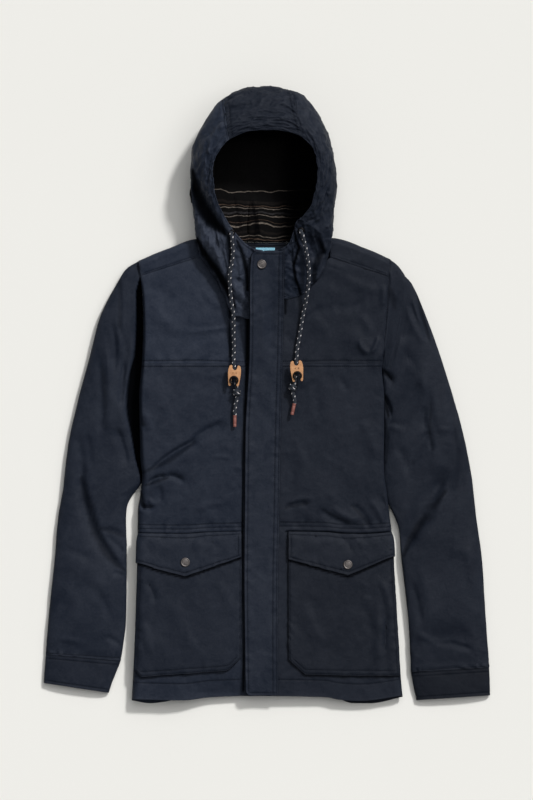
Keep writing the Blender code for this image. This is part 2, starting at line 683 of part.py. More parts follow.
def body_top(x, y, u):
    """Height that the collar and the hood's sides rest on, for hood rows u."""
    line = smooth(SHOULDER, 1, x) - SHOULDER_ROLL
    outside = (x < NECK_RIGHT_X + 6) | (x > NECK_LEFT_X - 6)
    past = np.clip((y - line) / SHOULDER_ROLL, 0, 1)
    turned_edge = np.where(past < 1, (1 + np.sqrt(1 - past ** 2)) / 2, 0.0)
    collar = (u <= 6.2) | (u >= 19.8)
    loft = front_loft(x, y)
    over_front = np.where(collar[:, None], loft + 0.8, 0.0)
    over_shoulder = np.where(outside & (past < 1), loft * turned_edge + 2.2, 0.0)
    return np.maximum(over_front * (y < line), over_shoulder)


def hood_points(u, v, spread=1.0):
    """Outer points of the hood for rows u (table rows) and columns v (0 to 1)."""
    controls = hood_controls()
    i, t, step, tangent = spline(np.arange(len(controls)), controls, u)
    sections = hermite(controls, i, t, step, tangent)
    rows = sections.transpose(1, 0, 2)
    i, t, step, tangent = spline(HOOD_KNOTS, rows, v)
    points = hermite(rows, i, t, step, tangent).transpose(1, 0, 2)
    bump = np.clip(v / 0.12, 0, 1) * np.clip((0.56 - v) / 0.10, 0, 1)
    creases = HOOD_FOLDS * (1, 1, 1, 1, 1, spread, spread ** 0.5)
    points[..., 2] += folds(creases, points[..., 0], points[..., 1]) * bump[None, :]
    rest = np.where(v[None, :] > 0.4, body_top(points[..., 0], points[..., 1], u), 0.0)
    points[..., 2] = np.maximum(points[..., 2], rest)
    return points


def hood_grid(u, v, spread=1.0):
    """Outer points of the hood and their outward directions."""
    e = 0.02
    points = hood_points(u, v, spread)
    last = len(HOOD) - 1
    du = (hood_points(np.minimum(u + e, last), v, spread)
          - hood_points(np.maximum(u - e, 0), v, spread))
    dv = (hood_points(u, np.minimum(v + e / 4, 1), spread)
          - hood_points(u, np.maximum(v - e / 4, 0), spread))
    normal = np.cross(du, dv)
    normal /= np.maximum(np.linalg.norm(normal, axis=-1, keepdims=True), 1e-9)
    return points, normal


def build_hood():
    """Hood sides with the collar, the middle strip and the striped lining."""
    made = {}
    last = len(HOOD) - 1
    first_seam, second_seam = HOOD_SEAMS
    right = (0, 0.5, 1, 1.5, 2, 2.6, 3.2, 3.8, 4.4, 5, 5.5, 6, 6.3, 6.6, 7, 7.5, 8, 8.6, 9.2,
             9.8, 10.4, first_seam)
    left = (second_seam, 15.6, 16.2, 16.8, 17.4, 18, 18.5, 19, 19.4, 19.7, 20, 20.5, 21,
            21.6, 22.2, 22.8, 23.4, 24, 24.5, last)
    middle = np.linspace(first_seam, second_seam, 8)
    spans = (("hood_side_right", right, ("u1",)), ("hood_centre", middle, ("u0", "u1")),
             ("hood_side_left", left, ("u0",)))
    v = np.array(HOOD_ROWS)
    for name, rows, edges in spans:
        points, normals = hood_grid(np.array(rows, float), v)
        for edge in edges:
            points = pull_back(points, edge, 0.3)
        made[name] = shell(name, [(points, normals)], 0.0, CLOTH, "wax_cotton")
    u = np.linspace(*LINING_SPAN, 21)
    points, normals = hood_grid(u, np.array(LINING_ROWS), 1.7)
    depth = CLOTH + LINING_GAP
    made["hood_lining"] = shell("hood_lining", [(points, normals)], -depth, depth + LINING,
                                "striped_lining")
    return made


def build_neck():
    """Facing inside the back neck and the plain loop label on it."""
    made = {}
    columns = np.linspace(-84, 78, 9)
    rows = np.linspace(0, 1, 4)
    points = np.empty((9, 4, 3))
    for i, x in enumerate(columns):
        high = float(smooth(NAPE, 1, np.float64(x))) - 2.0
        low = 206 + 0.0018 * x * x
        for j, t in enumerate(rows):
            points[i, j] = (x, low + (high - low) * t, CLOTH + GAP)
    up = np.zeros_like(points)
    up[..., 2] = 1.0
    made["neck_facing"] = shell("neck_facing", [(points, up)], FACING, 0.0, "wax_cotton_trim")
    label = np.empty((5, 3, 3))
    for i in range(5):
        for j in range(3):
            label[i, j] = (-18 + 31 * i / 4, 220 + 18 * j / 2, CLOTH + 2 * GAP + FACING)
    up = np.zeros_like(label)
    up[..., 2] = 1.0
    made["label"] = shell("label", [(label, up)], 1.0, 0.0, "blue_tape")
    return made


# ---------------------------------------------------------- what lies on panels
class Surface:
    """Finds how high the pieces below reach, for what is laid on them."""

    def __init__(self, objects):
        self.trees = []
        for made in objects:
            verts = [v.co / MM for v in made.data.vertices]
            faces = [list(p.vertices) for p in made.data.polygons]
            self.trees.append(BVHTree.FromPolygons(verts, faces))

    def height(self, x, y):
        """Highest point over one spot."""
        best = 0.0
        for tree in self.trees:
            hit = tree.ray_cast(Vector((x, y, 300.0)), Vector((0.0, 0.0, -1.0)))
            if hit[0] is not None:
                best = max(best, hit[0].z)
        return best

    def touch(self, x, y):
        """Top spot at one place, and the direction square to the cloth there."""
        best = None
        for tree in self.trees:
            hit = tree.ray_cast(Vector((x, y, 300.0)), Vector((0.0, 0.0, -1.0)))
            if hit[0] is not None and (best is None or hit[0].z > best[0].z):
                best = hit
        square = best[1] if best[1].z > 0 else -best[1]
        return best[0], square

    def over(self, x, y, reach):
        """Highest point over a small disc."""
        spots = [(0.0, 0.0)]
        for k in range(8):
            angle = math.pi * k / 4
            spots.append((reach * math.cos(angle), reach * math.sin(angle)))
            spots.append((reach * math.cos(angle) / 2, reach * math.sin(angle) / 2))
        return max(self.height(x + a, y + b) for a, b in spots)


def build_placket(pieces):
    """Storm flap over the front edges, from the chin to the hem."""
    under = Surface([pieces[n] for n in ("front_right_upper", "front_right_lower",
                                         "front_left_upper", "front_left_lower",
                                         "hood_side_right", "hood_side_left")])
    ys = [-488, -480, -455] + list(range(-410, 91, 50)) + [108, 120, 132, 146, 160, 176,
                                                           192, 208, 220, 227, 232]
    shares = (0.0, 0.3, 0.7, 1.0)
    points = np.empty((len(shares), len(ys), 3))
    for j, y in enumerate(ys):
        right = float(smooth(PLACKET, 1, np.float64(y)))
        left = float(smooth(PLACKET, 2, np.float64(y)))
        reach = 10 if y > 90 else 5
        highest = max(under.over(right + (left - right) * s, y, reach) for s in shares)
        for i, s in enumerate(shares):
            x = right + (left - right) * s
            own = under.over(x, y, reach)
            points[i, j] = (x, y, 0.5 * own + 0.5 * highest)
            if y < 90:
                points[i, j, 2] = own
    floor = points[..., 2].copy()
    soft = floor.copy()
    for _ in range(4):
        soft[:, 1:-1] = (soft[:, :-2] + 2 * soft[:, 1:-1] + soft[:, 2:]) / 4
        soft = np.maximum(soft, floor)
    for j, y in enumerate(ys):
        for i in range(len(shares)):
            own = under.over(points[i, j, 0], y, 7)
            soft[i, j] = max(soft[i, j], own)
    points[..., 2] = soft + GAP + 0.15
    normals = grid_normals(points)
    normals *= np.sign(normals[..., 2:3])
    return shell("placket", [(points, normals)], PLACKET_WALL, 0.0, "wax_cotton_trim")


def panel_patch(side, inner_x, low, high, columns, rows, offsets):
    """Points of what lies on a lower front, moved out by the given offsets."""
    points = np.empty((len(columns), len(rows), 3))
    for i, column in enumerate(columns):
        for j, t in enumerate(rows):
            y = -300.0
            x = inner_x
            for _ in range(8):
                x = across(side, inner_x, np.float64(y), column)
                y = low(x) + (high(x) - low(x)) * t
            points[i, j] = (x, y, front_height(side, x, y))
    normals = front_normals(side, points)
    return points + normals * offsets[..., None], normals


def build_pockets():
    """Patch pockets with chamfered corners, and the pointed flaps over them."""
    made = {}
    patches = {"right": (-41.0, POCKET_RIGHT, FLAP_RIGHT), "left": (34.0, POCKET_LEFT, FLAP_LEFT)}
    for side, (inner_x, pocket, flap) in patches.items():
        columns = [("flat", f) for f in (0, 0.03, 0.07, 0.16, 0.3, 0.45, 0.6, 0.75, 0.9, 1.0)]
        columns += [("roll", 0.36), ("roll", 0.62)]
        rows = [0, 0.02, 0.05, 0.15, 0.3, 0.45, 0.6, 0.75, 0.9, 1.0]
        raise_u = np.array([0, 0.75, 1, 1, 1, 1, 1, 1, 1, 1, 0.75, 0.0])
        raise_v = np.array([0, 0.75, 1, 1, 1, 1, 1, 1, 1, 1])
        offsets = GAP + 0.15 + (POCKET_RAISE - CLOTH) * raise_u[:, None] * raise_v[None, :]
        points, normals = panel_patch(side, inner_x, y_of(pocket), lambda x: POCKET_TOP_Y,
                                      columns, rows, offsets)
        title = "pocket_%s" % side
        made[title] = shell(title, [(points, normals)], CLOTH, 0.0, "wax_cotton")
        columns = [("flat", f) for f in (0, 0.08, 0.16, 0.3, 0.45, 0.6, 0.75, 0.9, 1.0)]
        columns += [("roll", 0.36), ("roll", 0.62)]
        rows = [0, 0.35, 0.66, 0.78, 0.89, 1.0]
        lift = np.array([1, 1, 1, 0.95, 0.45, 0.0])
        offsets = np.ones((len(columns), 1)) * (GAP + 0.15 + (POCKET_RAISE + 0.45) * lift[None, :])
        points, normals = panel_patch(side, inner_x + (-0.5 if side == "right" else 0.0),
                                      y_of(flap), lambda x: FLAP_TOP_Y, columns, rows, offsets)
        title = "pocket_flap_%s" % side
        made[title] = shell(title, [(points, normals)], FLAP_WALL, 0.0, "wax_cotton_trim")
    return made


# --------------------------------------------------------------- small pieces
def turned(profile, centre, count):
    """Points and faces of a profile of (radius, height) turned about +Z."""
    verts = []
    faces = []
    for radius, z in profile:
        for k in range(count):
            angle = 2 * math.pi * k / count
            verts.append((centre[0] + radius * math.cos(angle),
                          centre[1] + radius * math.sin(angle), centre[2] + z))
    for j in range(len(profile) - 1):
        for k in range(count):
            n = (k + 1) % count
            faces.append([j * count + k, j * count + n, (j + 1) * count + n,
                          (j + 1) * count + k])
    faces.append([k for k in reversed(range(count))])
    faces.append([(len(profile) - 1) * count + k for k in range(count)])
    return verts, faces


def build_snaps(pieces):
    """Domed press-stud caps with a raised rim."""
    made = {}
    for name, (x, y) in SNAPS.items():
        below = "placket" if name == "snap_placket" else name.replace("snap_", "pocket_")
        z = Surface([pieces[below]]).over(x, y, SNAP_RADIUS) + GAP
        r = SNAP_RADIUS
        profile = [(r - 0.8, 0), (r, 0.8), (r - 0.9, 1.9), (r - 1.8, 1.6), (r - 5.0, 2.0)]
        verts, faces = turned(profile, (x, y, z), 18)
        made[name] = finish(name, verts, faces, "stud_metal")
    return made


def cord_path(table, surface, radius, spot, square):
    """Centre line of a cord: out of its eyelet, then the table's route over what is below."""
    count = len(table)
    q = np.linspace(0, count - 1, 25)
    i, t, step, tangent = spline(np.arange(count), table, q)
    route = hermite(table, i, t, step, tangent)
    z = np.array([surface.over(x, y, radius + 0.6) for x, y, lift in route])
    for _ in range(3):
        z[1:-1] = np.maximum(z[1:-1], (z[:-2] + z[2:]) / 2)
    laid = np.column_stack([route[:, 0], route[:, 1], z + radius + 0.35 + route[:, 2]])
    start = [spot + square * 0.8, spot + square * 4.5]
    return np.concatenate([start, laid[1:]])


def build_cord(name, path):
    """A drawcord as one open curve with filled ends."""
    data = bpy.data.curves.new(name, "CURVE")
    data.dimensions = "3D"
    data.bevel_depth = CORD_RADIUS * MM
    data.bevel_resolution = 2
    data.use_fill_caps = True
    data.resolution_u = 1
    strand = data.splines.new("POLY")
    strand.points.add(len(path) - 1)
    for point, place in zip(strand.points, path):
        point.co = (*(float(c) * MM for c in place), 1.0)
    data.materials.append(material("cord_braid"))
    made = bpy.data.objects.new(name, data)
    bpy.context.collection.objects.link(made)
    return made


def ring(name, centre, axis, radius, thickness, around, across_count, slot):
    """A round ring with its axis in any direction."""
    turn = Vector(axis).to_track_quat("Z", "Y")
    verts = []
    faces = []
    for i in range(around):
        a = 2 * math.pi * i / around
        for j in range(across_count):
            b = 2 * math.pi * j / across_count
            reach = radius + thickness * math.cos(b)
            spot = Vector((reach * math.cos(a), reach * math.sin(a), thickness * math.sin(b)))
            verts.append(Vector(centre) + turn @ spot)
    for i in range(around):
        for j in range(across_count):
            n = (i + 1) % around
            m = (j + 1) % across_count
            faces.append([i * across_count + j, n * across_count + j,
                          n * across_count + m, i * across_count + m])
    return finish(name, verts, faces, slot)


def plate(name, outline, place, low, thickness, slot):
    """A flat piece with softened top edges, cut to an outline and laid in place."""
    x0, y0, degrees = place
    turn = math.radians(degrees)
    layers = ((0.0, 0.0), (0.0, thickness - 0.5), (0.45, thickness))
    count = len(outline)
    verts = []
    for inset, z in layers:
        for k, (x, y) in enumerate(outline):
            ahead = outline[(k + 1) % count]
            behind = outline[k - 1]
            run = Vector((ahead[0] - behind[0], ahead[1] - behind[1])).normalized()
            px = x - run.y * inset
            py = y + run.x * inset
            verts.append((x0 + px * math.cos(turn) - py * math.sin(turn),
                          y0 + px * math.sin(turn) + py * math.cos(turn), low + z))
    faces = [[j * count + k, j * count + (k + 1) % count, (j + 1) * count + (k + 1) % count,
              (j + 1) * count + k] for j in range(2) for k in range(count)]
    faces.append(list(reversed(range(count))))
    faces.append([2 * count + k for k in range(count)])
    return finish(name, verts, faces, slot, shaded=False)


def horseshoe(inner, outer, opening, count):
    """Outline of an open washer, from one tip round to the other and back."""
    start = math.radians(-90 + opening)
    stop = math.radians(270 - opening)
    angles = [start + (stop - start) * k / count for k in range(count + 1)]
    out = [(outer * math.cos(a), outer * math.sin(a)) for a in angles]
    back = [(inner * math.cos(a), inner * math.sin(a)) for a in reversed(angles)]
    return out + back


def build_cords(pieces):
    """Drawcords with their eyelets, leather toggles, rings, knots and tips."""
    made = {}
    half = [(x, y) for x, y in TOGGLE_HALF]
    outline = half + [(-x, y) for x, y in reversed(half)]
    for side, table in (("right", CORD_RIGHT), ("left", CORD_LEFT)):
        below = Surface(list(pieces.values()))
        x, y = table[0, :2]
        side_piece = pieces["hood_side_%s" % side]
        spot, square = Surface([side_piece]).touch(x, y)
        made["eyelet_" + side] = ring("eyelet_" + side, spot + square * 1.35, square, 4.7, 1.0,
                                      12, 6, "stud_metal")
        over = Surface(list(pieces.values()) + [made["eyelet_" + side]])
        path = cord_path(table, over, CORD_RADIUS, np.array(spot), np.array(square))
        made["drawcord_" + side] = build_cord("drawcord_" + side, path)
        tx, ty, degrees = TOGGLE_PLACE[side]
        top = max(p[2] for p in path if abs(p[1] - ty) < 24) + CORD_RADIUS + GAP + 0.1
        made["toggle_" + side] = plate("toggle_" + side, outline, TOGGLE_PLACE[side], top,
                                       TOGGLE_WALL, "tan_leather")
        turn = math.radians(degrees)
        place = (tx + 7.5 * math.sin(turn), ty - 7.5 * math.cos(turn), degrees)
        made["ring_" + side] = plate("ring_" + side, horseshoe(4.2, 7.6, 34, 16), place,
                                     top + TOGGLE_WALL + GAP, 1.4, "stud_metal")
        at = int(np.argmin(np.abs(path[:, 1] - KNOT_Y[side])))
        run = Vector(path[at + 1]) - Vector(path[at - 1])
        run = run.normalized() + Vector((0.16, 0.0, 0.10))
        made["knot_" + side] = ring("knot_" + side, path[at], run, 5.25, 1.6, 12, 6,
                                    "cord_braid")
        end = Vector(path[-1])
        run = (end - Vector(path[-2])).normalized()
        start = end + run * GAP
        verts = []
        faces = []
        across_run = run.orthogonal().normalized()
        other = run.cross(across_run)
        rows = ((0.0, 2.7), (0.5, 3.2), (TIP_LENGTH - 0.6, 3.2), (TIP_LENGTH, 2.6))
        for along, radius in rows:
            for k in range(12):
                a = 2 * math.pi * k / 12
                verts.append(start + run * along + across_run * radius * math.cos(a)
                             + other * radius * math.sin(a))
        for j in range(len(rows) - 1):
            for k in range(12):
                n = (k + 1) % 12
                faces.append([j * 12 + k, j * 12 + n, (j + 1) * 12 + n, (j + 1) * 12 + k])
        faces.append(list(reversed(range(12))))
        faces.append([(len(rows) - 1) * 12 + k for k in range(12)])
        made["cord_tip_" + side] = finish("cord_tip_" + side, verts, faces, "cord_ferrule")
    return made


def main():
    """Build every piece of the jacket."""
    for made in list(bpy.data.objects):
        bpy.data.objects.remove(made, do_unlink=True)
    pieces = {}
    pieces.update(build_fronts())
    pieces["back_panel"] = build_back()
    pieces.update(build_sleeves())
    pieces.update(build_hood())
    pieces.update(build_neck())
    pieces["placket"] = build_placket(pieces)
    pieces.update(build_pockets())
    pieces.update(build_snaps(pieces))
    pieces.update(build_cords(pieces))
    for made in pieces.values():
        made.data.transform(Matrix.Translation((0.0, CENTRE_Y * MM, 0.0)))


main()
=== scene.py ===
"""Looks of a waxed cotton jacket with a hood, laid flat on its back.

Lengths are millimetres unless a name ends in _m.  +X is the wearer's left, +Y points to
the hood and +Z up from the surface that the jacket lies on.  Each cloth piece is a surface
of two shares, u across and v along, with creases, seam valleys and a wall worked out on it.
"""
import json
import logging
import math
from dataclasses import dataclass, field
from enum import Enum
from typing import Callable, Sequence

import bpy
import numpy as np
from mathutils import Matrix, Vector

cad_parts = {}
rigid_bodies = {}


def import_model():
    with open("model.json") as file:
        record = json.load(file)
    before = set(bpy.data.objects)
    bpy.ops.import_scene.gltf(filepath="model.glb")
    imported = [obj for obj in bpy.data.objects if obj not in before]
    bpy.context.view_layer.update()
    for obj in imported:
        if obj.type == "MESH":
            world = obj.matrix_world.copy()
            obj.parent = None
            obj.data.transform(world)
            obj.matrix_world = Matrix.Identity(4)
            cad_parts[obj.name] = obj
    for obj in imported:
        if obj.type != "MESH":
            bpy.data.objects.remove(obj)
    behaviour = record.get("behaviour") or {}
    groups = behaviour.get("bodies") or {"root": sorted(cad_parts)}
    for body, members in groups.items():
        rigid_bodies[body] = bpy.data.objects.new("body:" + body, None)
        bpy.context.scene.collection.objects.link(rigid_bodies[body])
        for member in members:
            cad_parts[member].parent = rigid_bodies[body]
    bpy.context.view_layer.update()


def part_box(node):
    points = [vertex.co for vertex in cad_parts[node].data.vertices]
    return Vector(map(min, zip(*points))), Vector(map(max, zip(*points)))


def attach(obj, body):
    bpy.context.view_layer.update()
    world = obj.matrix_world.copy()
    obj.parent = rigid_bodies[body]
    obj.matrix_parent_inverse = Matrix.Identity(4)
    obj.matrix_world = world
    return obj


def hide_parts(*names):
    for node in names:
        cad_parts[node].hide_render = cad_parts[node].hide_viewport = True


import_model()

LOG = logging.getLogger("jacket")
MM = 0.001
CENTRE_Y = 0.85            # added to every y, which centres the whole
WALL = 1.6                 # thickness of a piece unless it has its own
GAP = 0.3                  # left free between pieces
SHOULDER_ROLL = 9.0
CHEST_SEAM_Y = 50.0
HEM_Y = -488.0             # lower end of the storm flap
FLAP_TOP = 0.4985          # share of a lower front at which its pocket flap is sewn on
FRONT_LENGTH = 539.0       # of a lower front, from hem to chest seam
NECK_RIGHT_X, NECK_LEFT_X = -110.0, 102.0
SHOULDER_SHARE = 0.24      # share of the back's width that each shoulder takes
HOOD_SEAM_END = 0.62       # share at which the stitching of the hood's panel seams ends
TINY = 1e-9
# Painted light and shade of each piece, one as woven: below one the piece is painted darker, above
# one paler, by how brightly it is lit.
PAINTED_LIGHT = {
    "front_right_upper": 1.22, "front_left_lower": 0.68, "front_left_upper": 0.64,
    "placket": 0.88, "pocket_right": 0.78, "pocket_left": 0.58, "pocket_flap_right": 0.84,
    "pocket_flap_left": 0.60, "sleeve_right": 0.86, "sleeve_left": 0.66, "cuff_right": 0.78,
    "cuff_left": 0.44, "hood_centre": 0.66, "hood_side_right": 1.30, "hood_side_left": 0.74,
    "neck_facing": 0.45,
}


class Side(Enum):
    """The wearer's sides, each with the sign of its x."""

    RIGHT = -1
    LEFT = 1

    @property
    def word(self) -> str:
        """Lower-case word for piece names."""
        return self.name.lower()


class Axis(Enum):
    """Which share of a piece stays the same along a seam."""

    U = 0
    V = 1


def rows_of(*rows: Sequence[float]) -> np.ndarray:
    """A short table of sizes."""
    return np.array(rows, float)


def table(*rows: Sequence[float]) -> np.ndarray:
    """A dataclass field that holds a short table of sizes."""
    return field(default_factory=lambda: rows_of(*rows))


def grid(count: int) -> tuple[np.ndarray, np.ndarray]:
    """Shares u and v of a square grid."""
    return tuple(np.meshgrid(*[np.linspace(0, 1, count)] * 2, indexing="ij"))


def unit(vectors: np.ndarray) -> np.ndarray:
    """The vectors divided by their lengths."""
    return vectors / np.maximum(np.linalg.norm(vectors, axis=-1, keepdims=True), TINY)


def ease(share: np.ndarray) -> np.ndarray:
    """Share held between nought and one, then smoothed: three squares less two cubes."""
    share = np.clip(share, 0, 1)
    return share ** 2 * (3 - 2 * share)


# ------------------------------------------------------------------ curves
def hermite(a: np.ndarray, b: np.ndarray, c: np.ndarray, d: np.ndarray, t: np.ndarray,
            step: np.ndarray) -> np.ndarray:
    """Cubic from one value to the next with given slopes.

    Args:
        a: value at the start.
        b: value at the end.
        c: slope at the start.
        d: slope at the end.
        t: share of the step.
        step: length of the step.

    Returns:
        The value at each share.
    """
    value = a * (2 * t ** 3 - 3 * t ** 2 + 1) + b * (3 * t ** 2 - 2 * t ** 3)
    return value + (c * (t ** 3 - 2 * t ** 2 + t) + d * (t ** 3 - t ** 2)) * step


def slopes(step: np.ndarray, rows: np.ndarray) -> np.ndarray:
    """Slope at each row: those of both sides, each weighted by the other side's step.

    Args:
        step: lengths of the steps, shaped to divide the rows' differences.
        rows: values along the first axis.

    Returns:
        Slopes in the shape of rows; the ends keep the slope of their only side.
    """
    slope = np.diff(rows, axis=0) / step
    tangent = np.empty_like(rows)
    tangent[0], tangent[-1] = slope[0], slope[-1]
    near, far = step[:-1], step[1:]
    tangent[1:-1] = (slope[:-1] * far + slope[1:] * near) / (near + far)
    return tangent


def smooth(rows: np.ndarray, column: int, x: np.ndarray) -> np.ndarray:
    """Read a column at x on a cubic whose slope is the harmonic mean at each row.

    Args:
        rows: table whose first column rises.
        column: the column to read.
        x: where to read it.

    Returns:
        Values of the shape of x, which never pass the rows on either side.
    """
    xs, ys = rows[:, 0], rows[:, column]
    step = np.diff(xs)
    slope = np.diff(ys) / step
    tangent = np.zeros_like(ys)
    tangent[0], tangent[-1] = slope[0], slope[-1]
    same = slope[:-1] * slope[1:] > 0
    total = slope[:-1] + slope[1:]
    tangent[1:-1][same] = (2 * slope[:-1] * slope[1:])[same] / total[same]
    x = np.clip(x, xs[0], xs[-1])
    i = np.clip(np.searchsorted(xs, x) - 1, 0, len(step) - 1)
    return hermite(ys[i], ys[i + 1], tangent[i], tangent[i + 1], (x - xs[i]) / step[i], step[i])


def spline(rows: np.ndarray, q: np.ndarray) -> np.ndarray:
    """Smooth curve through rows at whole numbers: a cubic with slopes from both neighbours.

    Args:
        rows: values along the first axis.
        q: where to read the curve, from nought to the last row's number.

    Returns:
        Array whose first axis follows q.
    """
    shape = (-1,) + (1,) * (rows.ndim - 1)
    step = np.ones(len(rows) - 1).reshape(shape)
    tangent = slopes(step, rows)
    i = np.clip(np.floor(q).astype(int), 0, len(step) - 1)
    return hermite(rows[i], rows[i + 1], tangent[i], tangent[i + 1], (q - i).reshape(shape),
                   step[i])


@dataclass(frozen=True)
class Creases:
    """Soft troughs and ridges: a bell across each line, faded at its ends.

    The rows hold x0, y0, x1, y1, bow, half width, lean and height.  A lean above nought makes
    the fold steeper on the left of its run and wider on the right.
    """

    rows: np.ndarray

    def rise(self, x: np.ndarray, y: np.ndarray, spread: float = 1.0) -> np.ndarray:
        """Sum of all folds at places x, y.

        Args:
            x: places across, in millimetres.
            y: places along, in millimetres.
            spread: factor on each width; heights grow by its root.

        Returns:
            Rise at each place.
        """
        total = np.zeros(np.broadcast(x, y).shape)
        for x0, y0, x1, y1, bow, width, lean, height in self.rows:
            length = math.hypot(x1 - x0, y1 - y0)
            ax, ay = (x1 - x0) / length, (y1 - y0) / length
            along = ((x - x0) * ax + (y - y0) * ay) / length
            inside = np.clip(along, 0, 1)
            across = (y - y0) * ax - (x - x0) * ay - bow * 4 * inside * (1 - inside)
            past = (along - inside) * length
            fade = np.clip(np.sin(math.pi * np.clip(inside, 0.02, 0.98)) * 1.7, 0, 1)
            reach = width * spread * np.where(across > 0, 1 - lean, 1 + lean)
            bell = np.exp(-(across / reach) ** 2 - (past / width) ** 2)
            total += height * spread ** 0.5 * fade * bell
        return total


def creases(*rows: Sequence[float]) -> Creases:
    """Creases from their rows."""
    return Creases(rows_of(*rows))


@dataclass(frozen=True)
class PaintedShade:
    """Painted shade: lines, each of a strength and marks x, y and half width, along which the
    colour gives way to black, for dark creases, hollows and cast shadows.
    """

    lines: tuple[tuple[float, tuple[tuple[float, float, float], ...]], ...]

    def depth(self, x: np.ndarray, y: np.ndarray) -> np.ndarray:
        """How strongly places x, y are painted dark, from nought to one.

        Args:
            x: places across, in millimetres.
            y: places along, in millimetres.

        Returns:
            Painted shade at each place, the strongest line's.
        """
        total = np.zeros(np.broadcast(x, y).shape)
        for strength, marks in self.lines:
            for (x0, y0, w0), (x1, y1, w1) in zip(marks, marks[1:]):
                length = math.hypot(x1 - x0, y1 - y0)
                ax, ay = (x1 - x0) / length, (y1 - y0) / length
                share = np.clip(((x - x0) * ax + (y - y0) * ay) / length, 0, 1)
                away = np.hypot(x - x0 - ax * length * share, y - y0 - ay * length * share)
                half = w0 + (w1 - w0) * share
                total = np.maximum(total, strength * np.exp(-(away / half) ** 4))
        return total


def lattice(x: np.ndarray, y: np.ndarray, seed: int) -> np.ndarray:
    """Noise from about -1.6 to 1.6 on a lattice of seeded heights: each cell blends its corners.

    Args:
        x: lattice places one way.
        y: lattice places the other way.
        seed: seed of the lattice.

    Returns:
        Noise at each place.
    """
    heights = np.random.default_rng(seed).uniform(-1, 1, (64, 64))
    i, j = np.floor(x).astype(int), np.floor(y).astype(int)
    s, t = x - i, y - j
    s, t = s * s * (3 - 2 * s), t * t * (3 - 2 * t)
    a, b, c, d = i % 64, (i + 1) % 64, j % 64, (j + 1) % 64
    low = heights[a, c] * (1 - s) + heights[b, c] * s
    high = heights[a, d] * (1 - s) + heights[b, d] * s
    return 1.6 * (low * (1 - t) + high * t)


@dataclass(frozen=True)
class Crumple:
    """Small uneven creasing: a smooth lattice of seeded random heights, folded sharp."""

    seed: int
    size: float
    height: float
    sharp: float = 0.6

    def rise(self, x: np.ndarray, y: np.ndarray) -> np.ndarray:
        """Rise at flat places x, y: three layers, each turned, half the size and lower.

        Args:
            x: places across, in millimetres.
            y: places along, in millimetres.

        Returns:
            Rise at each place.
        """
        total = np.zeros(np.broadcast(x, y).shape)
        size, height = self.size, self.height
        for layer in range(3):
            turn = 0.7 + 1.9 * layer
            a = (x * math.cos(turn) - y * math.sin(turn)) / size
            b = (x * math.sin(turn) + y * math.cos(turn)) / size
            wave = lattice(a + 9.7, b * 1.35 + 4.1, self.seed + layer)
            folded = 1 - 2 * np.abs(wave) ** 0.8
            total += height * (wave * (1 - self.sharp) + folded * self.sharp * 0.6)
            size, height = size * 0.5, height * 0.52
        return total


# -------------------------------------------------------------------- meshes
def grid_faces(count_u: int, count_v: int, closed: bool = False) -> np.ndarray:
    """Corner numbers of the four-sided faces of a grid, joined round in u if closed.

    Args:
        count_u: rows of the grid.
        count_v: vertices in a row.
        closed: whether the last row joins the first.

    Returns:
        Four corner numbers a row.
    """
    u = np.arange(count_u if closed else count_u - 1)
    v = np.arange(count_v - 1)
    a, b = np.meshgrid(u, v, indexing="ij")
    n = (a + 1) % count_u
    return np.stack([a * count_v + b, n * count_v + b, n * count_v + b + 1, a * count_v + b + 1],
                    -1).reshape(-1, 4)


def put_mesh(name: str, verts: np.ndarray, faces: np.ndarray, uv: np.ndarray | None = None,
             **values: np.ndarray) -> bpy.types.Object:
    """Make a mesh object from whole arrays.

    Args:
        name: name of the piece.
        verts: places in millimetres.
        faces: four corner numbers a row.
        uv: flat place of each vertex in metres, or None.
        values: named value of each vertex, such as its wear and its painted light and shade.

    Returns:
        The linked object, with its place in its mesh.
    """
    used, back = np.unique(faces, return_inverse=True)
    faces = back.reshape(faces.shape)
    places = verts[used] * MM
    places[:, 1] += CENTRE_Y * MM
    mesh = bpy.data.meshes.new(name)
    mesh.vertices.add(len(places))
    mesh.vertices.foreach_set("co", places.astype(np.float32).ravel())
    mesh.loops.add(faces.size)
    mesh.loops.foreach_set("vertex_index", faces.astype(np.int32).ravel())
    mesh.polygons.add(len(faces))
    mesh.polygons.foreach_set("loop_start", np.arange(0, faces.size, 4, dtype=np.int32))
    mesh.update(calc_edges=True)
    if uv is not None:
        layer = mesh.uv_layers.new(name="cut")
        layer.data.foreach_set("uv", uv[used][faces.ravel()].astype(np.float32).ravel())
    for key, value in values.items():
        mark = mesh.attributes.new(key, "FLOAT", "POINT")
        mark.data.foreach_set("value", value[used].astype(np.float32))
    mesh.validate()
    mesh.polygons.foreach_set("use_smooth", np.ones(len(mesh.polygons), bool))
    return link(name, mesh)


def link(name: str, data: bpy.types.ID) -> bpy.types.Object:
    """Make an object of its data and link it.

    Args:
        name: name of the object.
        data: its mesh, curve, lamp or camera.

    Returns:
        The object.
    """
    made = bpy.data.objects.new(name, data)
    bpy.context.collection.objects.link(made)
    return made


def vertices_of(mesh: bpy.types.Mesh) -> np.ndarray:
    """Places of a mesh's vertices in metres.

    Args:
        mesh: mesh to read.

    Returns:
        One row a vertex.
    """
    places = np.empty(len(mesh.vertices) * 3, np.float32)
    mesh.vertices.foreach_get("co", places)
    return places.reshape(-1, 3)


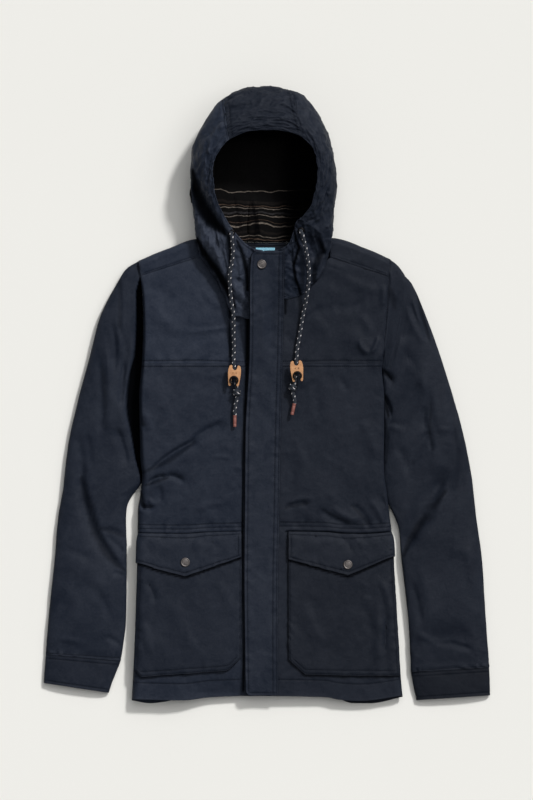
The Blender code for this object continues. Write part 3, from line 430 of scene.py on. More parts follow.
def wall_faces(quads: np.ndarray, count: int) -> np.ndarray:
    """Faces of a closed wall: the outer quads, the inner ones turned, and the rim between.

    Args:
        quads: outer faces.
        count: vertices of the outer skin.

    Returns:
        Faces of the closed wall, its inner skin numbered after the outer one.
    """
    quads = quads[np.array([len(set(q)) == 4 for q in quads.tolist()])]
    edges = np.concatenate([quads[:, [k, (k + 1) % 4]] for k in range(4)])
    low, high = edges.min(1).astype(np.int64), edges.max(1).astype(np.int64)
    key = low * (count + 1) + high
    _, first, seen = np.unique(key, return_index=True, return_counts=True)
    rim = edges[first[seen == 1]]
    side = np.stack([rim[:, 1], rim[:, 0], rim[:, 0] + count, rim[:, 1] + count], -1)
    return np.concatenate([quads, quads[:, ::-1] + count, side])


def sweep(path: np.ndarray, radius: np.ndarray, around: int) -> tuple[np.ndarray, np.ndarray]:
    """Tube along a path: rings square to it, carried on without twist, with domed ends.

    Args:
        path: centre line, one point a row.
        radius: radius at each point, or at each point and angle.
        around: corners of a ring.

    Returns:
        Vertices, ring after ring, and their four-sided faces with both ends closed.
    """
    run = unit(np.gradient(path, axis=0))
    side = np.cross(run, (0.0, 0.0, 1.0))
    weak = np.linalg.norm(side, axis=1) < 0.2
    side[weak] = np.cross(run[weak], (0.0, 1.0, 0.0))
    side = unit(side)
    up = np.cross(side, run)
    a = np.linspace(0, 2 * math.pi, around, endpoint=False)
    radius = np.broadcast_to(radius if np.ndim(radius) == 2 else np.reshape(radius, (-1, 1)),
                             (len(path), around))
    ring = side[:, None] * np.cos(a)[:, None] + up[:, None] * np.sin(a)[:, None]
    verts = path[:, None] + ring * radius[..., None]
    ends = [path[0] + (verts[0] - path[0]) * 0.02, path[-1] + (verts[-1] - path[-1]) * 0.02]
    verts = np.concatenate([ends[0][None], verts, ends[1][None]])
    count = len(path) + 2
    index = np.arange(count * around).reshape(count, around)
    now, nxt = index[:-1], index[1:]
    faces = np.stack([now, np.roll(now, -1, 1), np.roll(nxt, -1, 1), nxt], -1).reshape(-1, 4)
    caps = []
    for row, turned in ((index[0], True), (index[-1], False)):
        for k in range(around // 2 - 1):
            quad = [row[k], row[k + 1], row[around - 2 - k], row[around - 1 - k]]
            caps.append(quad[::-1] if turned else quad)
    return verts.reshape(-1, 3), np.concatenate([faces[:, ::-1], np.array(caps)[:, ::-1]])


def lathe(profile: Sequence[tuple[float, float]], centre: Sequence[float], axis: Vector,
          around: int) -> tuple[np.ndarray, np.ndarray]:
    """Closed ring turned from a closed profile of (radius, height) about an axis.

    Args:
        profile: closed run of radius and height.
        centre: middle of the ring.
        axis: direction that the heights follow.
        around: steps round the axis.

    Returns:
        Vertices and four-sided faces.
    """
    turn = np.array(Vector(axis).to_track_quat("Z", "Y").to_matrix())
    a = np.linspace(0, 2 * math.pi, around, endpoint=False)[:, None]
    r, z = np.array(profile, float).T
    local = np.stack([r * np.cos(a), r * np.sin(a), z + 0 * a], -1).reshape(-1, 3)
    rows = len(profile)
    i, j = np.meshgrid(np.arange(around), np.arange(rows), indexing="ij")
    n, m = (i + 1) % around, (j + 1) % rows
    faces = np.stack([i * rows + j, n * rows + j, n * rows + m, i * rows + m], -1).reshape(-1, 4)
    return local @ turn.T + np.asarray(centre, float), faces


# ----------------------------------------------------------------- materials
class Looks:
    """One material's nodes, with a single method that adds any node."""

    def __init__(self, name: str) -> None:
        """Start a material that holds only its shader and output.

        Args:
            name: name of the material.
        """
        self.material = bpy.data.materials.new(name)
        self.material.use_nodes = True
        self.tree = self.material.node_tree
        self.shader = self.tree.nodes["Principled BSDF"]

    def node(self, kind: str, settings: dict | None = None, inputs: dict | None = None,
             output: int | str = 0) -> "Shade":
        """Add one node.

        Args:
            kind: node type without its "ShaderNode" start.
            settings: properties set first; "stops" holds a ramp's (place, colour) pairs.
            inputs: values or shades for its sockets, by name or number.
            output: socket that is handed back.

        Returns:
            The output socket as a shade.
        """
        made = self.tree.nodes.new("ShaderNode" + kind)
        for key, value in (settings or {}).items():
            if key == "stops":
                marks = made.color_ramp.elements
                while len(marks) > 1:
                    marks.remove(marks[-1])
                marks[0].position, marks[0].color = value[0][0], (*value[0][1], 1.0)
                for place, colour in value[1:]:
                    marks.new(place).color = (*colour, 1.0)
            elif key == "interpolation":
                made.color_ramp.interpolation = value
            else:
                setattr(made, key, value)
        for key, value in (inputs or {}).items():
            if isinstance(value, Shade):
                self.tree.links.new(value.socket, made.inputs[key])
            else:
                made.inputs[key].default_value = value
        return Shade(self, made.outputs[output])

    def place(self) -> "Shade":
        """Object coordinates."""
        return self.node("TexCoord", output="Object")

    def mark(self, name: str) -> "Shade":
        """A named value of the mesh."""
        return self.node("Attribute", {"attribute_name": name}, output="Fac")

    def split(self, vector: "Shade") -> list["Shade"]:
        """The three numbers of a vector."""
        axes = self.node("SeparateXYZ", None, {0: vector}).socket.node
        return [Shade(self, axes.outputs[k]) for k in range(3)]

    def mix(self, share: "Shade | float", first: object, second: object) -> "Shade":
        """Blend two colours."""
        ends = [(*c, 1.0) if isinstance(c, tuple) else c for c in (first, second)]
        return self.node("Mix", {"data_type": "RGBA"}, {0: share, 6: ends[0], 7: ends[1]}, 2)

    def feed(self, **sockets: object) -> None:
        """Link shades to, or set values on, the shader's sockets (spaces as underscores).

        Args:
            sockets: a shade or a value for each named socket.
        """
        for key, value in sockets.items():
            socket = self.shader.inputs[key.replace("_", " ")]
            if isinstance(value, Shade):
                self.tree.links.new(value.socket, socket)
            else:
                socket.default_value = (*value, 1.0) if isinstance(value, tuple) else value

    def paint_shade(self) -> None:
        """Painted shade: give way to dull black where the attribute open says that little light
        comes in.
        """
        # The dull black shader is painted shade, not a colour of the cloth.
        black = self.node("BsdfPrincipled", None, {"Base Color": (0.0009, 0.0010, 0.0014, 1.0),
                                                   "Roughness": 1.0, "Specular IOR Level": 0.0})
        cloth = Shade(self, self.shader.outputs[0])
        mixed = self.node("MixShader", None, {0: self.mark("open").clamp(), 1: black, 2: cloth})
        self.tree.links.new(mixed.socket, self.tree.nodes["Material Output"].inputs["Surface"])

    def bump(self, height: "Shade", depth_m: float) -> "Shade":
        """Normal from a height, whose full rise is depth_m metres."""
        return self.node("Bump", None, {"Strength": 1.0, "Distance": depth_m, "Height": height})


class Shade:
    """A socket on which sums can be written as Python."""

    def __init__(self, looks: Looks, socket: bpy.types.NodeSocket) -> None:
        """Keep the material and the socket."""
        self.looks = looks
        self.socket = socket

    def math(self, operation: str, *others: "Shade | float", first: bool = True) -> "Shade":
        """Add a Math node on this shade and others; first says which side this one is."""
        values = [self, *others] if first else [*others, self]
        return self.looks.node("Math", {"operation": operation}, dict(enumerate(values)))

    def __add__(self, other: "Shade | float") -> "Shade":
        """Sum."""
        return self.math("ADD", other)

    def __sub__(self, other: "Shade | float") -> "Shade":
        """Difference."""
        return self.math("SUBTRACT", other)

    def __rsub__(self, other: float) -> "Shade":
        """Number less this."""
        return self.math("SUBTRACT", other, first=False)

    def __mul__(self, other: "Shade | float") -> "Shade":
        """Product."""
        return self.math("MULTIPLY", other)

    def __truediv__(self, other: "Shade | float") -> "Shade":
        """Quotient."""
        return self.math("DIVIDE", other)

    __radd__ = __add__
    __rmul__ = __mul__

    def clamp(self) -> "Shade":
        """Hold between nought and one."""
        return self.looks.node("Clamp", None, {0: self})

    def wave(self, length: float) -> "Shade":
        """Sine that repeats after a length."""
        return (self * (2 * math.pi / length)).math("SINE")


def clouds(looks: Looks, scale: float, detail: float = 3.0, rough: float = 0.5,
           where: Shade | None = None, twist: float = 0.0, kind: str = "FBM") -> Shade:
    """Soft noise from nought to one.

    Args:
        looks: material to add to.
        scale: cells a metre.
        detail: layers of noise.
        rough: strength of each next layer.
        where: places to read, or None for Object coordinates.
        twist: how far the cells are bent.
        kind: Blender's name for the noise.

    Returns:
        The noise.
    """
    inputs = {"Vector": where or looks.place(), "Scale": scale, "Detail": detail,
              "Roughness": rough, "Distortion": twist}
    return looks.node("TexNoise", {"noise_type": kind}, inputs, "Fac")


@dataclass(frozen=True)
class WaxCotton:
    """Waxed cotton: a dark canvas, paler where it is rubbed, with a patchy low sheen and painted
    light and shade.
    """

    slot: str
    deep: tuple[float, float, float] = (0.0106, 0.0159, 0.0297)
    pale: tuple[float, float, float] = (0.0325, 0.0398, 0.0590)
    roughness: float = 0.58
    wrinkle: float = 1.0
    fold_scale: float = 38.0
    thread_m: float = 0.0011

    def make(self) -> bpy.types.Material:
        """Weave from two crossed waves on the cut, crackle and patches from noise.

        One mark holds how worn the cloth is, with painted shade in its troughs.  The mark lit is
        painted light and shade of the piece: below one it darkens the cloth, above one it makes it
        paler.

        Returns:
            The finished material.
        """
        looks = Looks(self.slot + ("_creased" if self.wrinkle > 1 else "_cloth"))
        cut = looks.node("UVMap", {"uv_map": "cut"})
        rub, lit = looks.mark("rub"), looks.mark("lit")
        broad = clouds(looks, 11.0, 4.0, 0.6)
        fine = clouds(looks, 85.0, 5.0, 0.65)
        bloom = clouds(looks, 310.0, 3.0, 0.6)
        crack = clouds(looks, 34.0, 5.0, 0.62, twist=0.6)
        veins = 1.0 - ((crack - 0.5).math("ABSOLUTE") * 9.0).clamp()
        tone = ((broad - 0.5) * 0.9 + (fine - 0.5) * 0.8 + (bloom - 0.5) * 0.7 + veins * 0.10
                + rub * 0.55 + 0.22).clamp()
        # Painted light: lit above one makes the cloth paler.
        tone = (tone + (lit - 1.0).math("MAXIMUM", 0.0) * 1.3).clamp()
        across, along, _ = looks.split(cut)
        weave = across.wave(self.thread_m) * along.wave(self.thread_m)
        speck = clouds(looks, 900.0, 1.0, where=cut)
        folded = clouds(looks, self.fold_scale, 3.0, 0.55, twist=0.5, kind="RIDGED_MULTIFRACTAL")
        height = weave * 0.05 + speck * 0.06 + fine * 0.5 + veins * 0.12
        height = height + folded * (0.24 * self.wrinkle)
        cloth = looks.mix(tone, self.deep, self.pale)
        gloss = self.roughness + (broad - 0.5) * 0.22 - rub * 0.05 + (speck - 0.5) * 0.1
        # Painted shade: lit below one darkens the cloth towards near black.
        looks.feed(Base_Color=looks.mix(lit.clamp(), (0.0003, 0.0003, 0.0004), cloth),
                   Roughness=gloss, Normal=looks.bump(height, 0.0011), Specular_IOR_Level=0.11,
                   Sheen_Weight=0.015, Sheen_Roughness=0.45, Sheen_Tint=(0.62, 0.72, 0.95))
        looks.paint_shade()
        return looks.material


class Yarn(Enum):
    """Colours of the lining's yarns."""

    BLACK = (0.0030, 0.0029, 0.0031)
    BROWN = (0.013, 0.0105, 0.0100)
    GREY = (0.036, 0.034, 0.037)
    TAN = (0.105, 0.07, 0.052)
    CREAM = (0.20, 0.170, 0.145)


@dataclass(frozen=True)
class StripedLining:
    """Black woven lining with fine stripes across it, a group of them repeated."""

    slot: str = "striped_lining"
    repeat_mm: float = 176.0
    start_m: float = 0.2445
    rib_m: float = 0.0012
    # Columns: middle of the stripe, half its width, yarn
    stripes: tuple = ((7.5, 0.7, Yarn.TAN), (12.5, 0.7, Yarn.CREAM), (20.0, 1.6, Yarn.BROWN),
                      (31.0, 0.8, Yarn.CREAM), (36.5, 0.6, Yarn.TAN), (45.0, 0.8, Yarn.CREAM),
                      (50.0, 1.2, Yarn.GREY), (57.5, 0.9, Yarn.CREAM), (61.5, 0.6, Yarn.TAN),
                      (68.0, 2.6, Yarn.BROWN), (85.5, 0.6, Yarn.CREAM))

    def make(self) -> bpy.types.Material:
        """Stripes from a ramp over y, bent by noise, with ribs of the weave.

        Returns:
            The finished material.
        """
        looks = Looks(self.slot + "_cloth")
        x, y, z = looks.split(looks.place())
        sway = (clouds(looks, 30.0, 3.0) - 0.5) * 0.016 + (clouds(looks, 10.0, 1.0) - 0.5) * 0.014
        slant = ((x + 0.062).math("MINIMUM", 0.0) * 0.16) + z * 0.12
        turn = ((y + sway + slant - self.start_m) / (self.repeat_mm * MM)).math("FRACT")
        marks = [(0.0, Yarn.BLACK.value)]
        for at, half, yarn in self.stripes:
            marks += [((at - half) / self.repeat_mm, yarn.value),
                      ((at + half) / self.repeat_mm, Yarn.BLACK.value)]
        ramp = looks.node("ValToRGB", {"stops": marks, "interpolation": "CONSTANT"}, {0: turn})
        worn = clouds(looks, 260.0, 3.0, 0.6)
        ribs = y.wave(self.rib_m) * x.wave(self.rib_m)
        colour = looks.mix(((worn - 0.26) * 1.5).clamp(), ramp, (0.0045, 0.0042, 0.0045))
        looks.feed(Base_Color=colour, Roughness=0.86, Specular_IOR_Level=0.08,
                   Normal=looks.bump(ribs * 0.3 + worn * 0.7, 0.0005))
        looks.paint_shade()
        return looks.material


@dataclass(frozen=True)
class BlueTape:
    """Plain sky-blue tape with close ribs across it."""

    slot: str = "blue_tape"
    rib_m: float = 0.0009

    def make(self) -> bpy.types.Material:
        """Ribs from a sine over x, softly shaded.

        Returns:
            The finished material.
        """
        looks = Looks(self.slot + "_cloth")
        ribs = looks.split(looks.place())[0].wave(self.rib_m) * 0.5 + 0.5
        tone = (ribs * 0.35 + clouds(looks, 300.0) * 0.5).clamp()
        looks.feed(Base_Color=looks.mix(tone, (0.20, 0.52, 0.72), (0.42, 0.78, 0.95)),
                   Roughness=0.75, Normal=looks.bump(ribs, 0.0003))
        return looks.material


@dataclass(frozen=True)
class StudMetal:
    """Dull pewter-coloured metal with tarnish."""

    slot: str = "stud_metal"
    colour: tuple[float, float, float] = (0.21, 0.19, 0.185)
    dark: tuple[float, float, float] = (0.07, 0.065, 0.065)
    roughness: float = 0.42

    def make(self) -> bpy.types.Material:
        """Patches of tarnish and a finer grain, both from noise.

        Returns:
            The finished material.
        """
        looks = Looks(self.slot + "_metal_%d" % int(self.roughness * 100 + self.colour[0] * 1000))
        tarnish, fine = clouds(looks, 420.0, 4.0, 0.6), clouds(looks, 2600.0, 2.0)
        looks.feed(Base_Color=looks.mix((tarnish * 1.6 - 0.4).clamp(), self.dark, self.colour),
                   Metallic=1.0, Roughness=(self.roughness + (fine - 0.5) * 0.25),
                   Normal=looks.bump(fine * 0.5 + tarnish * 0.5, 0.00008))
        return looks.material


@dataclass(frozen=True)
class CordBraid:
    """Round braid of eight strands each way, with pale flecks that slant round it."""

    slot: str = "cord_braid"
    strands: int = 8
    turn_m: float = 0.0128
    repeat_m: float = 0.0112

    def make(self) -> bpy.types.Material:
        """Strands from angle plus and minus length; pale where two slanted waves peak.

        Returns:
            The finished material.
        """
        looks = Looks(self.slot + "_cloth")
        angle, length, _ = looks.split(looks.node("UVMap", {"uv_map": "cut"}))
        offset = 200.0 * self.strands
        a = (angle + length / self.turn_m) * float(self.strands) + offset
        b = (angle - length / self.turn_m) * float(self.strands) + offset
        round_it = (angle + 0.125) * (4 * math.pi)
        along_it = length * (2 * math.pi / self.repeat_m)
        slant, cross = (round_it + along_it).math("COSINE"), (round_it - along_it).math("COSINE")
        pale = ((slant * 0.76 + cross * 0.24 - 0.76) * 8.0).clamp()
        over = (a.math("FLOOR") + b.math("FLOOR")).math("MODULO", 2.0)
        ridge_a, ridge_b = (((k.math("FRACT") - 0.5) * math.pi).math("COSINE") for k in (a, b))
        ridge = ridge_a * ridge_b
        fibre = clouds(looks, 1500.0, 3.0)
        speck = (clouds(looks, 1400.0, 1.0) * 6.0 - 3.9).clamp()
        tone = (ridge * 0.55 + over * 0.15 + fibre * 0.3).clamp()
        navy = looks.mix(tone, (0.0018, 0.0032, 0.0070), (0.0065, 0.014, 0.029))
        navy = looks.mix(speck * 0.22, navy, (0.22, 0.24, 0.30))
        looks.feed(Base_Color=looks.mix(pale * 0.92, navy, (0.74, 0.71, 0.73)), Roughness=0.75,
                   Normal=looks.bump(ridge * 0.8 + fibre * 0.2, 0.0004), Sheen_Weight=0.04)
        return looks.material


@dataclass(frozen=True)
class TanLeather:
    """Tan leather: fine grain, darker where handled."""

    slot: str = "tan_leather"

    def make(self) -> bpy.types.Material:
        """Grain from a cell texture, tone from noise.

        Returns:
            The finished material.
        """
        looks = Looks(self.slot + "_hide")
        cells = {"Vector": looks.place(), "Scale": 900.0}
        grain = looks.node("TexVoronoi", None, cells, "Distance")
        tone = clouds(looks, 160.0, 4.0, 0.6)
        fine = clouds(looks, 1400.0, 3.0)
        colour = looks.mix((tone * 1.5 - 0.3).clamp(), (0.34, 0.145, 0.055), (0.62, 0.33, 0.15))
        looks.feed(Base_Color=colour, Roughness=0.55 + (fine - 0.5) * 0.3,
                   Normal=looks.bump(grain * 0.6 + fine * 0.4, 0.00025), Coat_Weight=0.08)
        return looks.material


@dataclass(frozen=True)
class CordFerrule:
    """Copper-brown sleeve with faint streaks along it."""

    slot: str = "cord_ferrule"

    def make(self) -> bpy.types.Material:
        """Streaks from noise stretched along y.

        Returns:
            The finished material.
        """
        looks = Looks(self.slot + "_paint")
        drawn = looks.node("Mapping", None, {"Vector": looks.place(), "Scale": (1.0, 0.15, 1.0)})
        streak = clouds(looks, 700.0, 3.0, 0.6, drawn)
        looks.feed(Base_Color=looks.mix(streak, (0.15, 0.050, 0.040), (0.27, 0.100, 0.082)),
                   Roughness=0.38 + streak * 0.2, Normal=looks.bump(streak, 0.00008))
        return looks.material


FINISHES = {
    "wax_cotton": WaxCotton("wax_cotton"),
    "wax_cotton_trim": WaxCotton("wax_cotton_trim", (0.0110, 0.0165, 0.0308),
                                 (0.0340, 0.0414, 0.0612), 0.56),
    "hood_cotton": WaxCotton("wax_cotton", roughness=0.56, wrinkle=13.0, fold_scale=70.0),
    "striped_lining": StripedLining(),
    "blue_tape": BlueTape(),
    "stud_metal": StudMetal(),
    "ring": StudMetal("stud_metal", (0.030, 0.028, 0.028), (0.008, 0.008, 0.008), 0.46),
    "cord_braid": CordBraid(),
    "tan_leather": TanLeather(),
    "cord_ferrule": CordFerrule(),
}
MATERIALS: dict[str, bpy.types.Material] = {}


def dress(made: bpy.types.Object, slot: str, *nodes: str) -> bpy.types.Object:
    """Give a piece its finish, its body and the nodes that it stands for.

    Args:
        made: the piece.
        slot: key of its finish.
        nodes: nodes that it stands for.

    Returns:
        The same piece.
    """
    if slot not in MATERIALS:
        MATERIALS[slot] = FINISHES[slot].make()
    made.data.materials.clear()
    made.data.materials.append(MATERIALS[slot])
    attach(made, "root")
    if nodes:
        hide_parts(*nodes)
    LOG.info("%s: %d faces", made.name, len(made.data.polygons))
    return made


# --------------------------------------------------------------- cloth pieces
@dataclass(frozen=True)
class Seam:
    """A stitched line on a piece: one share is fixed and the other runs.

    at is the distance in millimetres from the start of the fixed share, or from its end when
    it is below nought; low and high are where the running share starts and stops.
    """

    axis: Axis
    at: float
    low: float = 0.0
    high: float = 1.0
    pucker: float = 0.22
    thread: bool = True
    depth: float = 0.42
    half: float = 0.75
    # How dark the seam's valley is painted: painted shade, from nought to one.
    dark: float = 0.5


@dataclass
class Cloth:
    """One cloth piece, a surface of two shares with a wall below it."""

    name: str
    slot: str = "wax_cotton"
    wall: float = WALL
    pitch: float = 2.8
    round: float = 0.46
    seams: tuple[Seam, ...] = ()
    crumple: Crumple | None = None
    # Lines of painted shade, along which the colour gives way to black.
    painted_shade: PaintedShade | None = None
    # Edges painted dark: axis, end, half width and strength of painted shade.
    painted_edges: tuple[tuple[Axis, int, float, float], ...] = ()
    closed: bool = False
    flip: bool = False
    width: float = 0.0
    length: float = 0.0
    area: float = 0.0

    def surface(self, u: np.ndarray, v: np.ndarray) -> np.ndarray:
        """Places of the plain surface at shares u and v."""
        raise NotImplementedError

    def keep(self, u: np.ndarray, v: np.ndarray) -> np.ndarray:
        """Which faces are cut away, by the shares of their middles: none."""
        return np.ones(np.broadcast(u, v).shape, bool)

    def measure(self) -> None:
        """Take the mean width and length of the surface from a coarse grid."""
        p = self.surface(*grid(60))
        self.width = float(np.linalg.norm(np.diff(p, axis=0), axis=-1).sum(0).mean())
        self.length = float(np.linalg.norm(np.diff(p, axis=1), axis=-1).sum(1).mean())

    def size(self, axis: Axis) -> float:
        """Length of the piece in the direction of a share."""
        return self.width if axis is Axis.U else self.length

    def place(self, seam: Seam) -> float:
        """The fixed share of a seam."""
        share = seam.at / self.size(seam.axis)
        return share if seam.at >= 0 else 1 + share

    def lines(self, axis: Axis) -> np.ndarray:
        """Shares of the grid: even steps, with close ones at edges and seams.

        Args:
            axis: the share to divide.

        Returns:
            Rising shares from nought to one.
        """
        size = self.size(axis)
        even = np.linspace(0, 1, max(6, int(size / self.pitch)) + 1)
        if axis is Axis.U and self.closed:
            return even[:-1]
        marks = [0.0, 0.3, 0.8, 1.6]
        marks += [size - m for m in marks]
        for seam in self.seams:
            if seam.axis is axis:
                marks += [self.place(seam) * size + d for d in (-1.3, -0.6, 0.0, 0.6, 1.3)]
        marks = np.array(marks) / size
        far = np.abs(even[:, None] - marks[None, :]).min(1) * size > 0.5 * self.pitch
        both = np.unique(np.round(np.concatenate([even[far], marks]), 7))
        both = both[(both >= 0) & (both <= 1)]
        return both[np.concatenate([[True], np.diff(both) * size > 0.1])]

    def square(self, u: np.ndarray, v: np.ndarray) -> np.ndarray:
        """Outward directions: the cross product of the steps along u and along v.

        Args:
            u: shares across the piece.
            v: shares along the piece.

        Returns:
            Directions of length one.
        """
        e = 0.002
        low, high = (u - e, u + e) if self.closed else (np.maximum(u - e, 0), np.minimum(u + e, 1))
        du = self.surface(high, v) - self.surface(low, v)
        dv = self.surface(u, np.minimum(v + e, 1)) - self.surface(u, np.maximum(v - e, 0))
        normal = unit(np.cross(du, dv))
        return -normal if self.flip else normal

    def near(self, seam: Seam, u: np.ndarray, v: np.ndarray) -> tuple[np.ndarray, np.ndarray]:
        """Distance from a seam, and one beside its run with nought past its ends.

        Args:
            seam: the seam.
            u: shares across the piece.
            v: shares along the piece.

        Returns:
            The distance in millimetres, and the mark.
        """
        fixed, running = (u, v) if seam.axis is Axis.U else (v, u)
        other = self.size(Axis.V if seam.axis is Axis.U else Axis.U)
        low, high = (running - seam.low) * other / 4, (seam.high - running) * other / 4
        distance = (fixed - self.place(seam)) * self.size(seam.axis)
        return distance, np.clip(low, 0, 1) * np.clip(high, 0, 1)

    def relief(self, u: np.ndarray, v: np.ndarray) -> np.ndarray:
        """Fine rise: crumple, a valley along each seam and puckers beside it.

        Args:
            u: shares across the piece.
            v: shares along the piece.

        Returns:
            Rise in millimetres.
        """
        rise = np.zeros(np.broadcast(u, v).shape)
        if self.crumple is not None:
            rise = rise + self.crumple.rise(u * self.width, v * self.length)
        for k, seam in enumerate(self.seams):
            running = v * self.length if seam.axis is Axis.U else u * self.width
            distance, inside = self.near(seam, u, v)
            ripple = lattice(running / 6.5, distance / 16.0 + 3.3, 71 + k)
            rise = rise + inside * seam.pucker * ripple * np.exp(-(distance / 6.0) ** 2) * 1.5
            rise = rise - inside * seam.depth * np.exp(-(distance / seam.half) ** 2)
        return rise

    def laid(self, u: np.ndarray, v: np.ndarray) -> tuple[np.ndarray, np.ndarray]:
        """Finished outer places and outward directions."""
        normal = self.square(u, v)
        return self.surface(u, v) + normal * self.relief(u, v)[..., None], normal

    def tone(self, places: np.ndarray) -> np.ndarray:
        """Painted light and shade of each place, set per piece: below one darker, above one paler.
        """
        return np.full(places.shape[:-1], PAINTED_LIGHT.get(self.name, 1.0))

    def depth(self, u: np.ndarray, v: np.ndarray, places: np.ndarray) -> np.ndarray:
        """Painted shade of each place: along shade lines, in seam valleys and along turned-under
        edges.

        Args:
            u: shares across the piece.
            v: shares along the piece.
            places: finished places at those shares.

        Returns:
            Painted shade, from nought to one.
        """
        deep = np.zeros(u.shape)
        if self.painted_shade is not None:
            deep = self.painted_shade.depth(places[..., 0], places[..., 1])
        for seam in self.seams:
            distance, inside = self.near(seam, u, v)
            line = seam.dark * inside * np.exp(-(distance / (seam.half * 1.2)) ** 2)
            deep = np.maximum(deep, line)
        for axis, end, half, strength in self.painted_edges:
            away = np.abs((u if axis is Axis.U else v) - end) * self.size(axis)
            deep = np.maximum(deep, strength * np.exp(-(away / half) ** 4))
        return deep

    def build(self) -> bpy.types.Object:
        """Closed wall with rolled edges, its cut as UV, its wear, and its painted light and shade.

        Returns:
            The finished piece.
        """
        self.measure()
        us, vs = self.lines(Axis.U), self.lines(Axis.V)
        u, v = np.meshgrid(us, vs, indexing="ij")
        normal, rise = self.square(u, v), self.relief(u, v)
        base = self.surface(u, v) + normal * rise[..., None]
        edge = np.minimum(v, 1 - v) * self.length
        if not self.closed:
            edge = np.minimum(edge, np.minimum(u, 1 - u) * self.width)
        r = self.wall * self.round
        roll = r - np.sqrt(r * r - (r - np.minimum(edge, r)) ** 2)
        outer = base - normal * roll[..., None]
        inner = base - normal * (self.wall - roll)[..., None]
        below = np.minimum(np.minimum(outer[..., 2], inner[..., 2]), 0)
        outer[..., 2] -= below
        inner[..., 2] -= below
        quads = grid_faces(len(us), len(vs), self.closed)
        middle_u = u.ravel()[quads].mean(1) if not self.closed else u.ravel()[quads[:, 0]]
        quads = quads[self.keep(middle_u, v.ravel()[quads].mean(1))]
        if self.flip:
            quads = quads[:, ::-1]
        a, b, c, d = base.reshape(-1, 3)[quads].swapaxes(0, 1)
        halves = [np.linalg.norm(np.cross(p - a, q - a), axis=1) for p, q in ((b, c), (c, d))]
        self.area = float((halves[0] + halves[1]).sum() / 2)
        flat = np.stack([u * self.width, v * self.length], -1).reshape(-1, 2) * MM
        # Wear: paler at the edges and on ridges; below nought it is painted shade in the troughs.
        worn = np.exp(-edge / 2.0) * 0.55 + np.clip(rise * 0.6, -0.25, 0.4)
        # Painted light and shade of the piece, from its tone.
        lit = np.concatenate([self.tone(outer).ravel() * 0.8] * 2)
        # Painted shade from shade lines, seams and edges; one is fully open to light.
        open_to = 1 - np.clip(self.depth(u, v, outer), 0, 0.97).ravel()
        verts = np.concatenate([outer.reshape(-1, 3), inner.reshape(-1, 3)])
        made = put_mesh("cloth_" + self.name, verts, wall_faces(quads, u.size),
                        np.concatenate([flat, flat]), lit=lit,
                        rub=np.concatenate([worn.ravel(), 0 * worn.ravel()]),
                        open=np.concatenate([open_to, open_to]))
        return dress(made, self.slot, self.name)


@dataclass
class Stitches:
    """Rows of thread: short lens-shaped stitches laid along seams."""

    name: str
    slot: str = "wax_cotton_trim"
    pitch: float = 3.3
    long: float = 2.5
    thick: float = 0.42
    rows: list = field(default_factory=list)

    def follow(self, cloth: Cloth) -> None:
        """Add a row for each threaded seam of a piece.

        Args:
            cloth: a piece that has been measured.
        """
        for seam in cloth.seams:
            if seam.thread:
                run = np.linspace(seam.low, seam.high, 500)
                fixed = np.full_like(run, cloth.place(seam))
                u, v = (fixed, run) if seam.axis is Axis.U else (run, fixed)
                places, normals = cloth.laid(u[:, None], v[:, None])
                self.rows.append((places[:, 0], normals[:, 0]))

    def build(self) -> bpy.types.Object:
        """Each stitch is three rings of four corners along its row, small, full and small.

        Returns:
            All stitches as one piece.
        """
        verts, faces, start = [], [], 0
        for places, normals in self.rows:
            step = np.linalg.norm(np.diff(places, axis=0), axis=1)
            s = np.concatenate([[0], np.cumsum(step)])
            middle = np.arange(self.pitch, s[-1] - self.pitch / 2, self.pitch)
            spots = middle[:, None] + np.array([-0.5, 0.0, 0.5]) * self.long
            at = np.stack([np.interp(spots, s, places[:, k]) for k in range(3)], -1)
            up = np.stack([np.interp(spots, s, normals[:, k]) for k in range(3)], -1)
            side = np.cross(unit(at[:, 2] - at[:, 0])[:, None], up)
            size = np.array([0.35, 1.0, 0.35])[:, None] * self.thick
            lift = np.array([-0.05, 0.28, -0.05])[:, None]
            corners = np.stack([at + up * (lift + size * 0.7), at + side * size + up * lift,
                                at + up * (lift - size * 0.7), at - side * size + up * lift], 2)
            n = len(middle)
            verts.append(corners.reshape(-1, 3))
            base = start + np.arange(n)[:, None] * 12
            pattern = [[r * 4 + k, (r + 1) * 4 + k, (r + 1) * 4 + (k + 1) % 4, r * 4 + (k + 1) % 4]
                       for r in range(2) for k in range(4)]
            pattern += [[0, 1, 2, 3], [11, 10, 9, 8]]
            faces.append((base[:, None] + np.array(pattern)[None]).reshape(-1, 4))
            start += n * 12
        verts = np.concatenate(verts)
        verts[:, 2] = np.maximum(verts[:, 2], 0.05)
        faces = np.concatenate(faces)
        # The thread is painted darker than the cloth: painted shade of its dimples.
        made = put_mesh("stitches_" + self.name, verts, faces, verts[:, :2] * MM,
                        lit=np.full(len(verts), 0.66), rub=np.full(len(verts), 0.1),
                        open=np.ones(len(verts)))
        return dress(made, self.slot)


